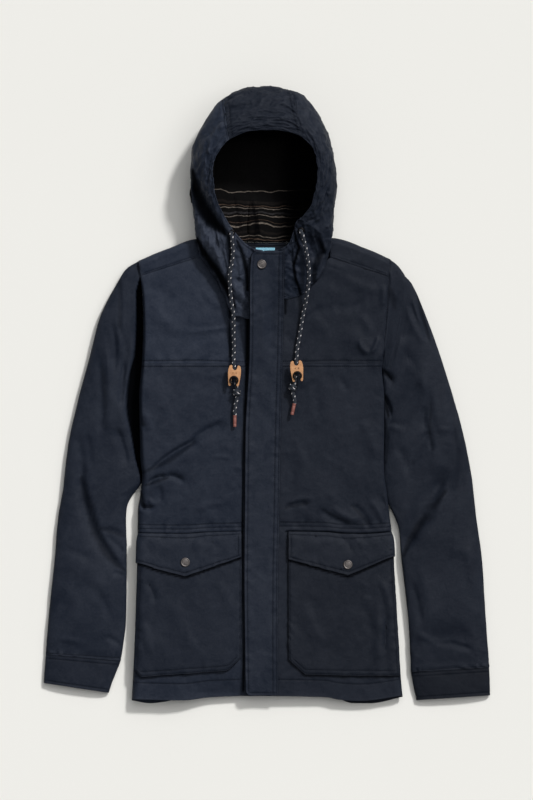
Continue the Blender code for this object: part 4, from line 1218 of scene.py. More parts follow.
# ----------------------------------------------------------------------- body
@dataclass
class BodyForm:
    """Edges, seams and height of the body, shared by all that is laid on it.

    Columns are y, right x, left x in edge; top x, top y, low x, low y, bow in armhole; y and
    the heights at the right, middle and left in heights; y, right and left width, right and
    left seam height in rolls; x and y in the lines.
    """

    edge: np.ndarray = table(
        (-500, -219, 221), (-460, -217, 217), (-398, -214, 213), (-335, -212, 209),
        (-286, -210.5, 206), (-232, -209.5, 203), (-190, -209, 198), (-160, -205, 195),
        (-132, -202, 190.5), (-105, -205, 189.5), (-60, -206, 190), (-5, -207, 190),
        (38, -204, 186))
    armhole: dict = field(default_factory=lambda: {Side.RIGHT: (-207.5, 215, -204.0, 38, 5.0),
                                                   Side.LEFT: (198, 221, 186, 38, -2.0)})
    heights: np.ndarray = table(
        (-500, 24, 20, 17), (-400, 26, 22, 19), (-300, 26, 23, 20), (-211, 24, 22, 19),
        (-150, 27, 24, 22), (-40, 28, 25, 24), (50, 27, 25, 25), (140, 26, 24, 25),
        (230, 24, 24, 24))
    front_hem: np.ndarray = table(
        (-220, -493), (-136, -495), (-91, -490), (-35, -488), (5, -488), (97, -490), (117, -494),
        (150, -496), (222, -487))
    back_hem: np.ndarray = table(
        (-220, -495), (-189, -500), (-168, -498), (-136, -491), (-91, -486), (97, -486),
        (140, -500), (167, -500), (222, -489))
    shoulder: np.ndarray = table(
        (-212, 215), (-162, 236), (-110, 252.5), (102, 254), (167, 234), (200, 219))
    forward: np.ndarray = table((-210, 190), (-110, 222), (102, 222), (201, 189))
    nape: np.ndarray = table(
        (-110, 243.5), (-99, 248.5), (-60, 248), (0, 246), (60, 248), (91, 250), (102, 245))
    neck_right: np.ndarray = table(
        (-110, 222), (-91, 203), (-75, 182), (-61, 159), (-50, 138), (-32, 131), (-4, 131))
    neck_left: np.ndarray = table(
        (-6, 160), (29, 161), (50, 167), (64, 174), (74, 186), (88, 208), (102, 222))
    rolls: np.ndarray = table(
        (-500, 11, 11, 12, 12), (-180, 11, 9, 12, 12), (-140, 9, 5, 12, 18), (-90, 7, 4, 8, 20),
        (40, 6, 4, 6, 22), (150, 5, 4, 6, 23), (178, 5, 4, 18, 23), (186, 5, 4, 22, 23),
        (215, 5, 5, 22, 23))
    folds: Creases = creases(
        (-196, -150, -84, -62, 6, 17, 0, 2.6), (-205, -182, -120, -128, -4, 16, 0, -2.4),
        (-204, 30, -150, -70, 10, 20, 0, 2.4), (-190, 112, -40, 122, 8, 18, 0, 1.6),
        (40, -190, 120, -160, -5, 18, 0, 1.8), (92, -204, 186, -150, 8, 18, 0, -2.2),
        (120, 104, 190, 40, 6, 18, 0, 2.6), (60, 60, 150, -90, -12, 24, 0, 1.8))
    fine: Creases = creases(
        (-190, -124, -112, -72, 5, 4.6, 0.5, -3.8), (-130, -84, -64, -44, 6, 9, 0.5, -2.6),
        (-194, -146, -160, -132, 6, 3.6, 0.5, -3.6), (-164, -132, -134, -142, 3, 4.0, -0.3, -3.2),
        (-204, -160, -196, -186, -5, 4.0, 0.3, -3.2), (-206, -178, -178, -180, -4, 3.4, 0.2, -3.4),
        (-192, -168, -182, -186, 2, 3.4, 0.2, 2.0), (-176, -146, -172, -176, 2, 5, 0.2, -1.6),
        (-206, -36, -198, -54, -3, 5, 0.2, -2.6), (-198, -30, -190, -60, 3, 6, 0, 1.4),
        (-133, 103, -32, 118, -4, 3.5, 0.3, 1.3), (-150, 58, -58, 92, 5, 9, 0.3, 0.9),
        (-188, 152, -128, 98, -8, 12, 0.3, 1.1), (-196, 176, -150, 150, 5, 8, 0, -0.8),
        (-104, 168, -66, 140, -4, 6, 0, 0.9), (-90, -101, -58, -104, 2, 3, 0, 1.0),
        (-54, -116, -38, -122, 1, 2.5, 0, 0.9), (-60, -160, -40, -150, 1, 3, 0, -0.8),
        (-150, -40, -96, 8, 6, 9, 0.3, 0.9), (-120, -190, -70, -176, 4, 5, 0, 0.8),
        (-186, -60, -168, -20, 2, 6, 0, -1.0), (-100, 26, -62, 34, 2, 5, 0, 0.7),
        (149, 88, 166, 66, -3, 4, 0.2, 2.6), (166, 66, 180, 96, -3, 4, 0.2, 2.4),
        (120, 194, 184, 168, -4, 8, 0.2, 0.9), (36, 152, 100, 98, 6, 9, 0.2, 0.9),
        (58, 196, 120, 178, 4, 9, 0, -0.8), (60, 120, 106, 144, 4, 8, 0.3, -1.3),
        (106, 144, 160, 150, -5, 9, 0.2, -1.1), (188, 178, 186, 140, 2, 5, 0, 1.7),
        (150, 128, 168, 96, 4, 7, 0, 1.2), (28, -183, 68, -175, 3, 3.4, 0.3, -1.9),
        (32, -176, 76, -168, 3, 5, 0, 1.1), (86, -184, 134, -210, -4, 4.5, 0.3, -1.7),
        (104, -180, 150, -204, -4, 5, 0, 1.5), (134, -176, 168, -214, 5, 5, 0.3, -1.4),
        (166, -170, 190, -216, 4, 5, 0, 1.5), (182, -160, 198, -214, 3, 4, 0.3, -1.6),
        (30, -160, 44, -120, -3, 7, 0, -0.9), (177, -300, 180, -455, 3, 6, 0, 0.7),
        (192, -345, 196, -450, -3, 6, 0, -0.6), (160, -330, 167, -440, 4, 8, 0, -0.5),
        (70, 28, 84, -40, 4, 8, 0, -0.8), (118, 30, 132, 6, -2, 5, 0, -0.9),
        (40, -70, 60, -120, 4, 8, 0.2, 0.9), (150, -40, 176, -110, 6, 9, 0, 1.0),
        (28, 102, 60, 74, -3, 6, 0, -0.8), (90, 208, 116, 199, -3, 2.2, 0, 1.0),
        (88, 200, 112, 192, -3, 2.2, 0, 1.0), (86, 193, 108, 186, -3, 2.4, 0, 0.9),
        (96, 216, 126, 206, -3, 2.2, 0, 0.8), (60, -250, 110, -236, 4, 7, 0, 0.9),
        (112, -226, 142, -258, 3, 5, 0.3, -0.8), (132, -226, 158, -252, 3, 5, 0, 0.5),
        (60, -330, 90, -400, -5, 9, 0.3, 1.0), (150, -320, 186, -390, 6, 10, 0, 0.9),
        (184, -300, 200, -350, 2, 5, 0, 1.4), (196, -350, 190, -420, -2, 5, 0, -1.3),
        (-196, -300, -180, -340, 3, 5, 0, -1.3), (-204, -366, -190, -420, 3, 6, 0, 1.2),
        (-150, -320, -110, -420, -8, 12, 0.3, 0.9), (-80, -300, -60, -360, 4, 8, 0, 0.8),
        (-206, -232, -184, -262, 2, 6, 0, -0.6), (-120, -240, -80, -262, 3, 8, 0, 0.8))
    crumple: Crumple = Crumple(11, 42.0, 0.55, 0.68)

    def end(self, side: Side, y: np.ndarray) -> np.ndarray:
        """Body's edge: the side seam below the armhole, a shallow bow above.

        Args:
            side: the wearer's side.
            y: places along the body.

        Returns:
            x of the edge.
        """
        top_x, top_y, low_x, low_y, bow = self.armhole[side]
        a = (y - (top_y + low_y) / 2) / ((top_y - low_y) / 2)
        line = (top_x + low_x) / 2 + (top_x - low_x) / 2 * a
        arm = line - side.value * bow * (1 - a ** 2)
        return np.where(y > low_y, arm, smooth(self.edge, 1 if side is Side.RIGHT else 2, y))

    def loft(self, x: np.ndarray, y: np.ndarray) -> np.ndarray:
        """Three rows of heights blended by a sine, plus folds, less a dip at the hem.

        Args:
            x: places across, in millimetres.
            y: places along, in millimetres.

        Returns:
            Height above the surface.
        """
        right, middle, left = (smooth(self.heights, k, y) for k in (1, 2, 3))
        swell = np.sin(np.clip(x / 130.0, -1, 1) * math.pi / 2)
        side = np.where(swell < 0, middle - right, left - middle)
        low = 9.5 * np.exp(-((x + 62) / 64) ** 4) * np.clip((-420 - y) / 62, 0, 1) ** 2
        return middle + side * swell + self.folds.rise(x, y) - low

    def top(self, x: np.ndarray, y: np.ndarray) -> np.ndarray:
        """Loft with fine creases, crumple and the drawn-in waist.

        Args:
            x: places across, in millimetres.
            y: places along, in millimetres.

        Returns:
            Height above the surface.
        """
        waist = -1.2 * np.exp(-((y + 211) / 9.0) ** 2)
        small = self.fine.rise(x, y) * 1.75 + self.crumple.rise(x, y) * 1.5
        return self.loft(x, y) + waist + small

    def roll(self, side: Side, y: np.ndarray) -> np.ndarray:
        """Width of the roll at the side."""
        return smooth(self.rolls, 1 if side is Side.RIGHT else 2, y)

    def seam_z(self, side: Side, y: np.ndarray) -> np.ndarray:
        """Height of the side seam."""
        return smooth(self.rolls, 3 if side is Side.RIGHT else 4, y)

    def into(self, side: Side, x: np.ndarray, y: np.ndarray) -> np.ndarray:
        """How far round the roll at the side a place is, from nought to one."""
        roll = self.roll(side, y)
        return np.clip((np.abs(x) - (np.abs(self.end(side, y)) - roll)) / roll, 0, 1)

    def height(self, side: Side, x: np.ndarray, y: np.ndarray) -> np.ndarray:
        """Height of the fronts, rolled down in a quarter ellipse at the side.

        Args:
            side: the wearer's side.
            x: places across, in millimetres.
            y: places along, in millimetres.

        Returns:
            Height above the surface.
        """
        level = np.sqrt(np.maximum(1 - self.into(side, x, y) ** 2, 0))
        seam = self.seam_z(side, y)
        return seam + (self.top(x, y) - seam) * level

    def reach(self, side: Side, x: np.ndarray, y: np.ndarray) -> np.ndarray:
        """Height of the back where it rolls up to the side seam.

        Args:
            side: the wearer's side.
            x: places across, in millimetres.
            y: places along, in millimetres.

        Returns:
            Height above the surface.
        """
        share = (y - self.armhole[side][3] - 2) / 22.0
        full = self.seam_z(side, y) * (1 - ease(share))
        return full * (1 - np.sqrt(np.maximum(1 - self.into(side, x, y) ** 2, 0)))

    def across(self, side: Side, inner: float, y: np.ndarray, u: np.ndarray) -> np.ndarray:
        """x at share u: even up to 0.9, then round the roll.

        Args:
            side: the wearer's side.
            inner: x where the share is nought.
            y: places along the body.
            u: shares across.

        Returns:
            x at each share.
        """
        roll = side.value * self.roll(side, y)
        start = self.end(side, y) - roll
        turn = np.sin(np.clip((u - 0.9) / 0.1, 0, 1) * math.pi / 2)
        return inner + (start - inner) * np.minimum(u / 0.9, 1) + roll * turn

    def patch(self, side: Side, inner: float, low: Callable, high: Callable, u: np.ndarray,
              v: np.ndarray) -> np.ndarray:
        """Places on a front between two lines across it, found in a few passes.

        Args:
            side: the wearer's side.
            inner: x of the inner edge.
            low: y of the low line at x.
            high: y of the high line at x.
            u: shares across the front.
            v: shares from low to high.

        Returns:
            Places, with x, y and z on the last axis.
        """
        y = np.zeros(np.broadcast(u, v).shape) - 100.0
        x = y * 0 + inner
        for _ in range(7):
            x = self.across(side, inner, y, u)
            y = low(x) + (high(x) - low(x)) * v
        return np.stack([x, y, self.height(side, x, y)], -1)

    def neck_top(self, side: Side) -> Callable:
        """Upper edge of a front: its neckline, then the straight forward seam.

        Args:
            side: the wearer's side.

        Returns:
            A function that gives the edge's y at x.
        """
        neck = self.neck_right if side is Side.RIGHT else self.neck_left

        def line(x: np.ndarray) -> np.ndarray:
            """Edge height y at x.

            Args:
                x: places across.

            Returns:
                y of the edge.
            """
            inside = (x >= neck[0, 0]) & (x <= neck[-1, 0])
            seam = np.interp(x, self.forward[:, 0], self.forward[:, 1])
            return np.where(inside, smooth(neck, 1, x), seam)
        return line


BODY = BodyForm()
# Painted shade: the collar's shadow on the yoke, the shadows of the right cord and of the storm
# flap's edges on the fronts, and dark creases.  Each line holds its strength and its marks x, y and
# half width.
COLLAR_SHADE = (0.97, ((-113, 252, 3), (-101, 228, 6.5), (-79, 197, 7.5), (-63, 170, 7),
                       (-56, 152, 5), (-52, 142, 3)))
BODY_PAINTED_SHADE = PaintedShade((
    COLLAR_SHADE, (0.8, ((-60.5, 150, 3.0), (-60, 61, 2.2))),
    (0.96, ((-31, 214, 3.4), (-31.5, 120, 3.8), (-32, 60, 3.6), (-34.8, 0, 2.8), (-38, -60, 2.0),
            (-39.2, -180, 1.9), (-39, -480, 1.9))),
    (0.8, ((30.5, 170, 3.5), (30, 132, 2.5))),
    (0.4, ((-200, -126, 2.5), (-160, -108, 4.5), (-118, -78, 3))),
    (0.5, ((-196, -147, 2), (-176, -140, 3.2), (-160, -134, 2))),
    (0.5, ((-204, -160, 2.5), (-199, -172, 3.5), (-198, -186, 2))),
    (0.35, ((30, -183, 2), (66, -176, 3))), (0.3, ((90, -186, 2), (132, -208, 3))),
    (0.3, ((138, -180, 2), (166, -210, 3)))))


@dataclass
class FrontPanel(Cloth):
    """A front, above or below the chest seam."""

    side: Side = Side.RIGHT
    upper: bool = False

    def surface(self, u: np.ndarray, v: np.ndarray) -> np.ndarray:
        """Shares from the centre edge to the side and from the low line to the high one.

        Args:
            u: shares across the piece.
            v: shares along the piece.

        Returns:
            Places, with x, y and z on the last axis.
        """
        inner = -6.0 if self.side is Side.RIGHT else -4.4
        chest = lambda x: CHEST_SEAM_Y + 0 * x
        if self.upper:
            low, high = lambda x: chest(x) + 0.03, BODY.neck_top(self.side)
        else:
            low, high = (lambda x: smooth(BODY.front_hem, 1, x)), lambda x: chest(x) - 0.03
        return BODY.patch(self.side, inner, low, high, u, v)


@dataclass
class BackPanel(Cloth):
    """The back: flat below, rolled up at the sides and turned forward over the shoulders."""

    bend: float = 0.9
    over: float = 0.935

    def surface(self, u: np.ndarray, v: np.ndarray) -> np.ndarray:
        """Share u runs right to left; v up the back, round the shoulder and down in front.

        Args:
            u: shares across the piece.
            v: shares along the piece.

        Returns:
            Places, with x, y and z on the last axis.
        """
        u, v = np.broadcast_arrays(u, v)
        low_u, high_u = SHOULDER_SHARE, 1 - SHOULDER_SHARE
        right, left = u < low_u, u > high_u
        share = np.where(right, 1 - u / low_u, np.where(left, (u - high_u) / low_u, 0))
        middle = np.clip((u - low_u) / (high_u - low_u), 0, 1)
        middle = NECK_RIGHT_X + (NECK_LEFT_X - NECK_RIGHT_X) * middle
        share = np.where(share < 0.82, share / 0.82 * 0.9, 0.9 + (share - 0.82) / 0.18 * 0.1)
        y = np.zeros(u.shape)
        up = np.clip(v / self.bend, 0, 1)
        turn = np.clip((v - self.bend) / (self.over - self.bend), 0, 1) * math.pi
        down = np.clip((v - self.over) / (1 - self.over), 0, 1)
        for _ in range(8):
            x = np.where(right, BODY.across(Side.RIGHT, NECK_RIGHT_X, y, share),
                         np.where(left, BODY.across(Side.LEFT, NECK_LEFT_X, y, share), middle))
            line = smooth(BODY.shoulder, 1, x) - SHOULDER_ROLL
            high = np.where(right | left, line, smooth(BODY.nape, 1, x))
            low = smooth(BODY.back_hem, 1, x)
            seam = np.interp(x, BODY.forward[:, 0], BODY.forward[:, 1]) + 0.3
            y = low + (high - low) * up
            y = np.where(v > self.bend, line + SHOULDER_ROLL * np.sin(turn), y)
            y = np.where(v > self.over, line + (seam - line) * down, y)
        z_back = np.where(left, BODY.reach(Side.LEFT, x, y), 0.0)
        z_back = np.where(right, BODY.reach(Side.RIGHT, x, y), z_back)
        held = np.where(v > self.over, y, np.minimum(y, line))
        top = np.where(right, BODY.height(Side.RIGHT, x, held), BODY.height(Side.LEFT, x, held))
        z = np.where(v > self.bend, top * (1 - np.cos(turn)) / 2, z_back)
        return np.stack([x, y, z], -1)

    def keep(self, u: np.ndarray, v: np.ndarray) -> np.ndarray:
        """The middle stops at the nape."""
        return (v < self.bend) | (u < SHOULDER_SHARE) | (u > 1 - SHOULDER_SHARE)

    def lines(self, axis: Axis) -> np.ndarray:
        """Adds exact lines where the neck and the shoulder turn begin.

        Args:
            axis: the share to divide.

        Returns:
            Rising shares from nought to one.
        """
        lines = super().lines(axis)
        shoulders = [SHOULDER_SHARE, 1 - SHOULDER_SHARE]
        marks = shoulders if axis is Axis.U else [self.bend, self.over]
        far = np.abs(lines[:, None] - np.array(marks)[None, :]).min(1) > 0.0016
        return np.unique(np.concatenate([lines[far], marks]))

    def tone(self, places: np.ndarray) -> np.ndarray:
        """Painted light and shade like the front on each side, blended across the middle."""
        ends = PAINTED_LIGHT["front_right_upper"], PAINTED_LIGHT["front_left_upper"]
        return np.interp(places[..., 0], (-90, 90), ends)

    def relief(self, u: np.ndarray, v: np.ndarray) -> np.ndarray:
        """Creases only where they stay off the surface below."""
        rise = super().relief(u, v)
        return np.where(v > self.bend, rise, np.clip(rise, -2.0, 0.0))


# -------------------------------------------------------------------- sleeves
@dataclass
class Sleeve(Cloth):
    """A flattened tube, open at both ends.

    Columns of its sections are outer x and y, inner x and y, height and bow; of its gap, y
    and the width of the strip beside the body in which it lies low.
    """

    side: Side = Side.RIGHT
    sections: np.ndarray = table((0, 0, 0, 0, 0, 0))
    folds: Creases | None = None
    trim: float = 0.45
    run: float = 640.0
    gap: np.ndarray = table((-600, 0), (250, 0))
    inner_power: float = 0.8
    swell: float = 0.0

    def surface(self, u: np.ndarray, v: np.ndarray) -> np.ndarray:
        """Share u goes round a squashed ring, v along the sections.

        A ring reaches out by a power of the cosine and up by a power of the sine, fuller on
        top than below, and is kept clear of the body beside it.

        Args:
            u: shares round the tube.
            v: shares from armhole to wrist.

        Returns:
            Places, with x, y and z on the last axis.
        """
        u, v = np.broadcast_arrays(u, v)
        last = len(self.sections) - 1
        cut = self.trim / self.run
        q = (cut + v * (1 - cut)) * last
        flat = spline(self.sections, q.ravel()).reshape(v.shape + (6,))
        angle = u * 2 * math.pi
        c, s = np.cos(angle), np.sin(angle)
        power = np.where(s >= 0, np.where(c < 0, self.inner_power, 0.8), 0.4)
        reach = np.sign(c) * np.abs(c) ** power
        lift = np.abs(s) ** power
        outer, inner, height, bow = flat[..., 0:2], flat[..., 2:4], flat[..., 4], flat[..., 5]
        plan = (outer + inner) / 2 + (outer - inner) / 2 * reach[..., None]
        sign = self.side.value
        swell = self.swell * np.sin(math.pi * np.clip(q, 0, 1)) * np.clip(reach, 0, 1) ** 2
        plan = plan + swell[..., None] * np.array([sign * 0.7, 0.7])
        x = plan[..., 0] - sign * bow * (1 - reach ** 2)
        y = plan[..., 1]
        rest = 0.42 * height
        upper = rest + (height - rest) * lift
        lower = np.maximum(rest * (1 - 1.07 * lift), 0)
        fade = np.clip(q / 2.0, 0, 1)
        crease = self.folds.rise(x, y) * fade * 1.5 if self.folds is not None else 0.0
        z = np.where(s >= 0, upper + crease * lift, lower)
        x = sign * np.maximum(np.abs(x), self.beside(y))
        share = self.clear(x, y)
        low = np.minimum(z, 2.2)
        z = np.where(s >= 0, low + (z - low) * share, z * (0.35 + 0.65 * share))
        return np.stack([x, y, z], -1)

    def beside(self, y: np.ndarray) -> np.ndarray:
        """How far out the sleeve starts: at the body's edge, under it at the open armhole.

        Args:
            y: places along the body.

        Returns:
            Least distance from the middle line.
        """
        wide = smooth(self.gap, 1, y)
        tucked = 1.3 * np.clip((y - 20) / 20, 0, 1) if self.side is Side.LEFT else 0.0
        return np.abs(BODY.end(self.side, y)) + 0.1 - 1.6 * np.clip(wide / 4.0, 0, 1) - tucked

    def clear(self, x: np.ndarray, y: np.ndarray) -> np.ndarray:
        """Nought in the sunk strip beside the body, one on the sleeve proper.

        Args:
            x: places across, in millimetres.
            y: places along, in millimetres.

        Returns:
            The share at each place.
        """
        wide = smooth(self.gap, 1, y)
        past = np.abs(x) - np.abs(BODY.end(self.side, y)) - wide * 0.8
        return np.where(wide > 0.3, ease(past / (0.6 + wide * 0.16)), 1.0)

    def depth(self, u: np.ndarray, v: np.ndarray, places: np.ndarray) -> np.ndarray:
        """The sunk strip beside the body is painted dark as well: painted shade."""
        sunk = 1 - self.clear(places[..., 0], places[..., 1])
        return np.maximum(super().depth(u, v, places), np.clip(sunk * 1.3, 0, 1))

    def relief(self, u: np.ndarray, v: np.ndarray) -> np.ndarray:
        """Fine creases fade out underneath, where the sleeve rests.

        Args:
            u: shares across the piece.
            v: shares along the piece.

        Returns:
            Rise in millimetres.
        """
        rise = super().relief(u, v)
        below = np.clip(-np.sin(u * 2 * math.pi) * 2, 0, 1)
        return rise * (1 - below)


SLEEVE_SECTIONS = {
    Side.RIGHT: rows_of(
        (-207.5, 216.5, -204.0, 38, 23, 5), (-239, 185.5, -206, 20, 24.5, 3),
        (-270, 126, -206, -6, 25, 1), (-288, 56, -206, -36, 24, 0), (-306, -9, -206, -70, 22, 0),
        (-321, -77, -205, -106, 21, 0), (-330, -151, -202, -140, 20, 0),
        (-338, -198, -226, -180, 19, 0), (-344, -270, -227, -244, 18, 0),
        (-351, -334, -227, -292, 18, 0), (-356, -390, -228, -365, 17, 0),
        (-358, -420, -236, -430, 15, 0)),
    Side.LEFT: rows_of(
        (198, 220, 186, 38, 23, -2), (223.5, 192, 188, 18, 24.5, -1), (241, 167, 189, -12, 25, 0),
        (276, 77, 190, -58, 24, 0), (303, -9, 189, -108, 22, 0), (318, -64, 189, -140, 21, 0),
        (331, -129, 196, -174, 20, 0), (339, -198, 213, -216, 19, 0),
        (348, -265, 218, -268, 18, 0), (354, -357, 229, -365, 17, 0),
        (358, -410, 232, -418, 16, 0), (360, -441, 233, -449, 15, 0)),
}
SLEEVE_GAP = {
    Side.RIGHT: rows_of(
        (-600, 0), (-150, 0), (-137, 2), (-104, 8), (-65, 15), (-22, 22), (27, 20), (73, 13),
        (126, 12), (165, 10), (184, 2), (192, 0), (250, 0)),
    Side.LEFT: rows_of((-600, 0), (250, 0)),
}
CUFF_SECTIONS = {
    Side.RIGHT: rows_of(
        (-358.1, -419.8, -236.0, -429.8, 15.4, 0), (-360, -444, -247, -457, 14.5, 0),
        (-361.4, -467, -256, -483, 13, 0)),
    Side.LEFT: rows_of(
        (360.1, -441.1, 232.9, -449.1, 15, 0), (361, -464, 237, -472, 14.5, 0),
        (361.4, -487, 242, -495, 13, 0)),
}
SLEEVE_FOLDS = {
    Side.RIGHT: creases(
        (-300, -100, -226, -292, -22, 8, 0.4, -4.6), (-308, -60, -296, -140, 2, 9, 0.3, -2.2),
        (-262, 60, -250, -70, 8, 16, 0, 2.6), (-236, 182, -232, 96, -4, 14, 0, 1.6),
        (-330, -250, -262, -330, 6, 18, 0, 1.6), (-270, -217, -226, -229, 3, 4.0, 0.4, -2.8),
        (-262, -226, -228, -262, 3, 5, 0.3, -2.0), (-238, 187, -238, 96, 2, 2.6, 0.4, -2.4),
        (-240, 110, -240, 20, 3, 4, 0.2, 1.8), (-219, 92, -232, 10, 3, 4.5, 0, 2.2),
        (-232, 60, -240, -30, 3, 4, 0.4, -2.2), (-250, 120, -246, 30, 3, 4, 0.3, -1.6),
        (-262, 90, -258, -60, 5, 5, 0.3, 1.8), (-272, 60, -268, -80, 4, 5, 0.3, -1.8),
        (-292, -60, -286, -120, 2, 6, 0.3, -1.6), (-248, 0, -230, -70, 5, 6, 0, 1.6),
        (-246, -50, -226, -118, 4, 5, 0.3, -2.4), (-250, -288, -226, -296, 2, 3.4, 0.3, -2.4),
        (-340, -60, -318, -160, 6, 12, 0, 1.2), (-336, -300, -300, -392, 8, 12, 0, 1.2),
        (-290, -300, -250, -372, 6, 7, 0.3, -1.5), (-330, -252, -280, -268, 3, 6, 0.3, -1.3),
        (-262, -392, -236, -408, 3, 4, 0.2, -1.8), (-340, -396, -300, -404, 3, 5, 0, 1.2)),
    Side.LEFT: creases(
        (292, -116, 214, -262, 4, 15, 0.5, -7.5), (304, -80, 286, -170, 6, 14, 0.3, -3.0),
        (206, 150, 218, 84, 0, 16, 0, -3.0), (252, 60, 290, -70, -6, 20, 0, 2.4),
        (250, -404, 336, -392, 6, 14, 0, -2.2), (232, 152, 266, 84, -4, 4.0, 0.4, -2.4),
        (243, 173, 264, 88, -3, 3.8, 0.3, -3.4), (236, 168, 256, 92, -3, 5, 0, 2.4),
        (263, -57, 270, -90, -2, 4, 0.3, -2.4), (215, 75, 250, 20, 4, 6, 0.3, -2.0),
        (222, 60, 258, 0, 4, 6, 0, 1.8), (210, -80, 240, -150, 4, 5, 0.3, -2.2),
        (230, -100, 262, -150, 3, 5, 0, 1.8), (300, -20, 310, -100, -3, 6, 0.2, -2.0),
        (286, 20, 300, -60, -3, 7, 0, 1.8), (226, 146, 256, 80, -4, 5, 0, 1.6),
        (196, 176, 216, 142, -3, 6, 0.2, -2.6), (184, 42, 208, 18, 2, 4.5, 0.5, -5.0),
        (187, 2, 201, -36, 3, 4.5, 0.4, -5.5), (196, -46, 228, -62, 6, 3.6, 0.4, -2.2),
        (196, -52, 226, -66, 5, 5, 0, 1.8), (192, 78, 212, 64, 3, 3.6, 0.3, -1.8),
        (196, 88, 222, 76, 3, 4, 0.2, 1.6), (232, -34, 248, -74, -3, 4.5, 0.5, -2.6),
        (258, -18, 262, -60, -4, 5, 0.5, -3.2), (262, -58, 254, -96, -3, 5, 0.5, -2.6),
        (243, -84, 230, -124, 3, 5, 0.5, -2.2), (276, -56, 298, -58, 1, 3, 0.3, 1.6),
        (222, -20, 252, 20, 4, 6, 0.2, -1.5), (262, 6, 274, -60, -3, 6, 0.2, -1.6),
        (268, -60, 262, -160, 6, 8, 0, 1.4), (279, -401, 334, -414, 3, 4, 0.2, -2.0),
        (240, -388, 280, -412, 4, 6, 0, 1.5), (330, -230, 346, -330, -5, 12, 0, 1.4),
        (250, -290, 262, -370, 5, 9, 0, 1.2), (232, -300, 250, -372, 3, 6, 0.3, -1.6),
        (296, -250, 330, -262, 3, 8, 0, 1.2)),
}

# Painted shade on the sleeves: dark creases and dents at the armholes.
SLEEVE_PAINTED_SHADE = {
    Side.RIGHT: PaintedShade((
        (0.45, ((-300, -134, 3), (-293, -165, 7), (-284, -192, 7), (-279, -218, 7), (-262, -255, 6),
                (-243, -275, 4), (-230, -284, 2))),
        (0.35, ((-268, -217, 2.5), (-232, -229, 3))), (0.3, ((-238, 186, 3), (-239, 110, 3))))),
    Side.LEFT: PaintedShade((
        (0.5, ((289, -156, 3), (268, -186, 5), (246, -211, 6), (230, -238, 5), (221, -262, 3))),
        (0.75, ((181, 45, 2.2), (190, 36, 4), (204, 24, 2))),
        (0.75, ((187, 3, 2.4), (192, -14, 4.5), (197, -36, 2))),
        (0.35, ((197, 174, 4), (204, 156, 6), (207, 140, 3))),
        (0.35, ((243, 172, 2), (250, 132, 3), (263, 90, 2))),
        (0.3, ((266, -16, 2), (263, -56, 3), (269, -88, 2))),
        (0.35, ((190, -40, 3), (196, -70, 3), (193, -110, 2))))),
}


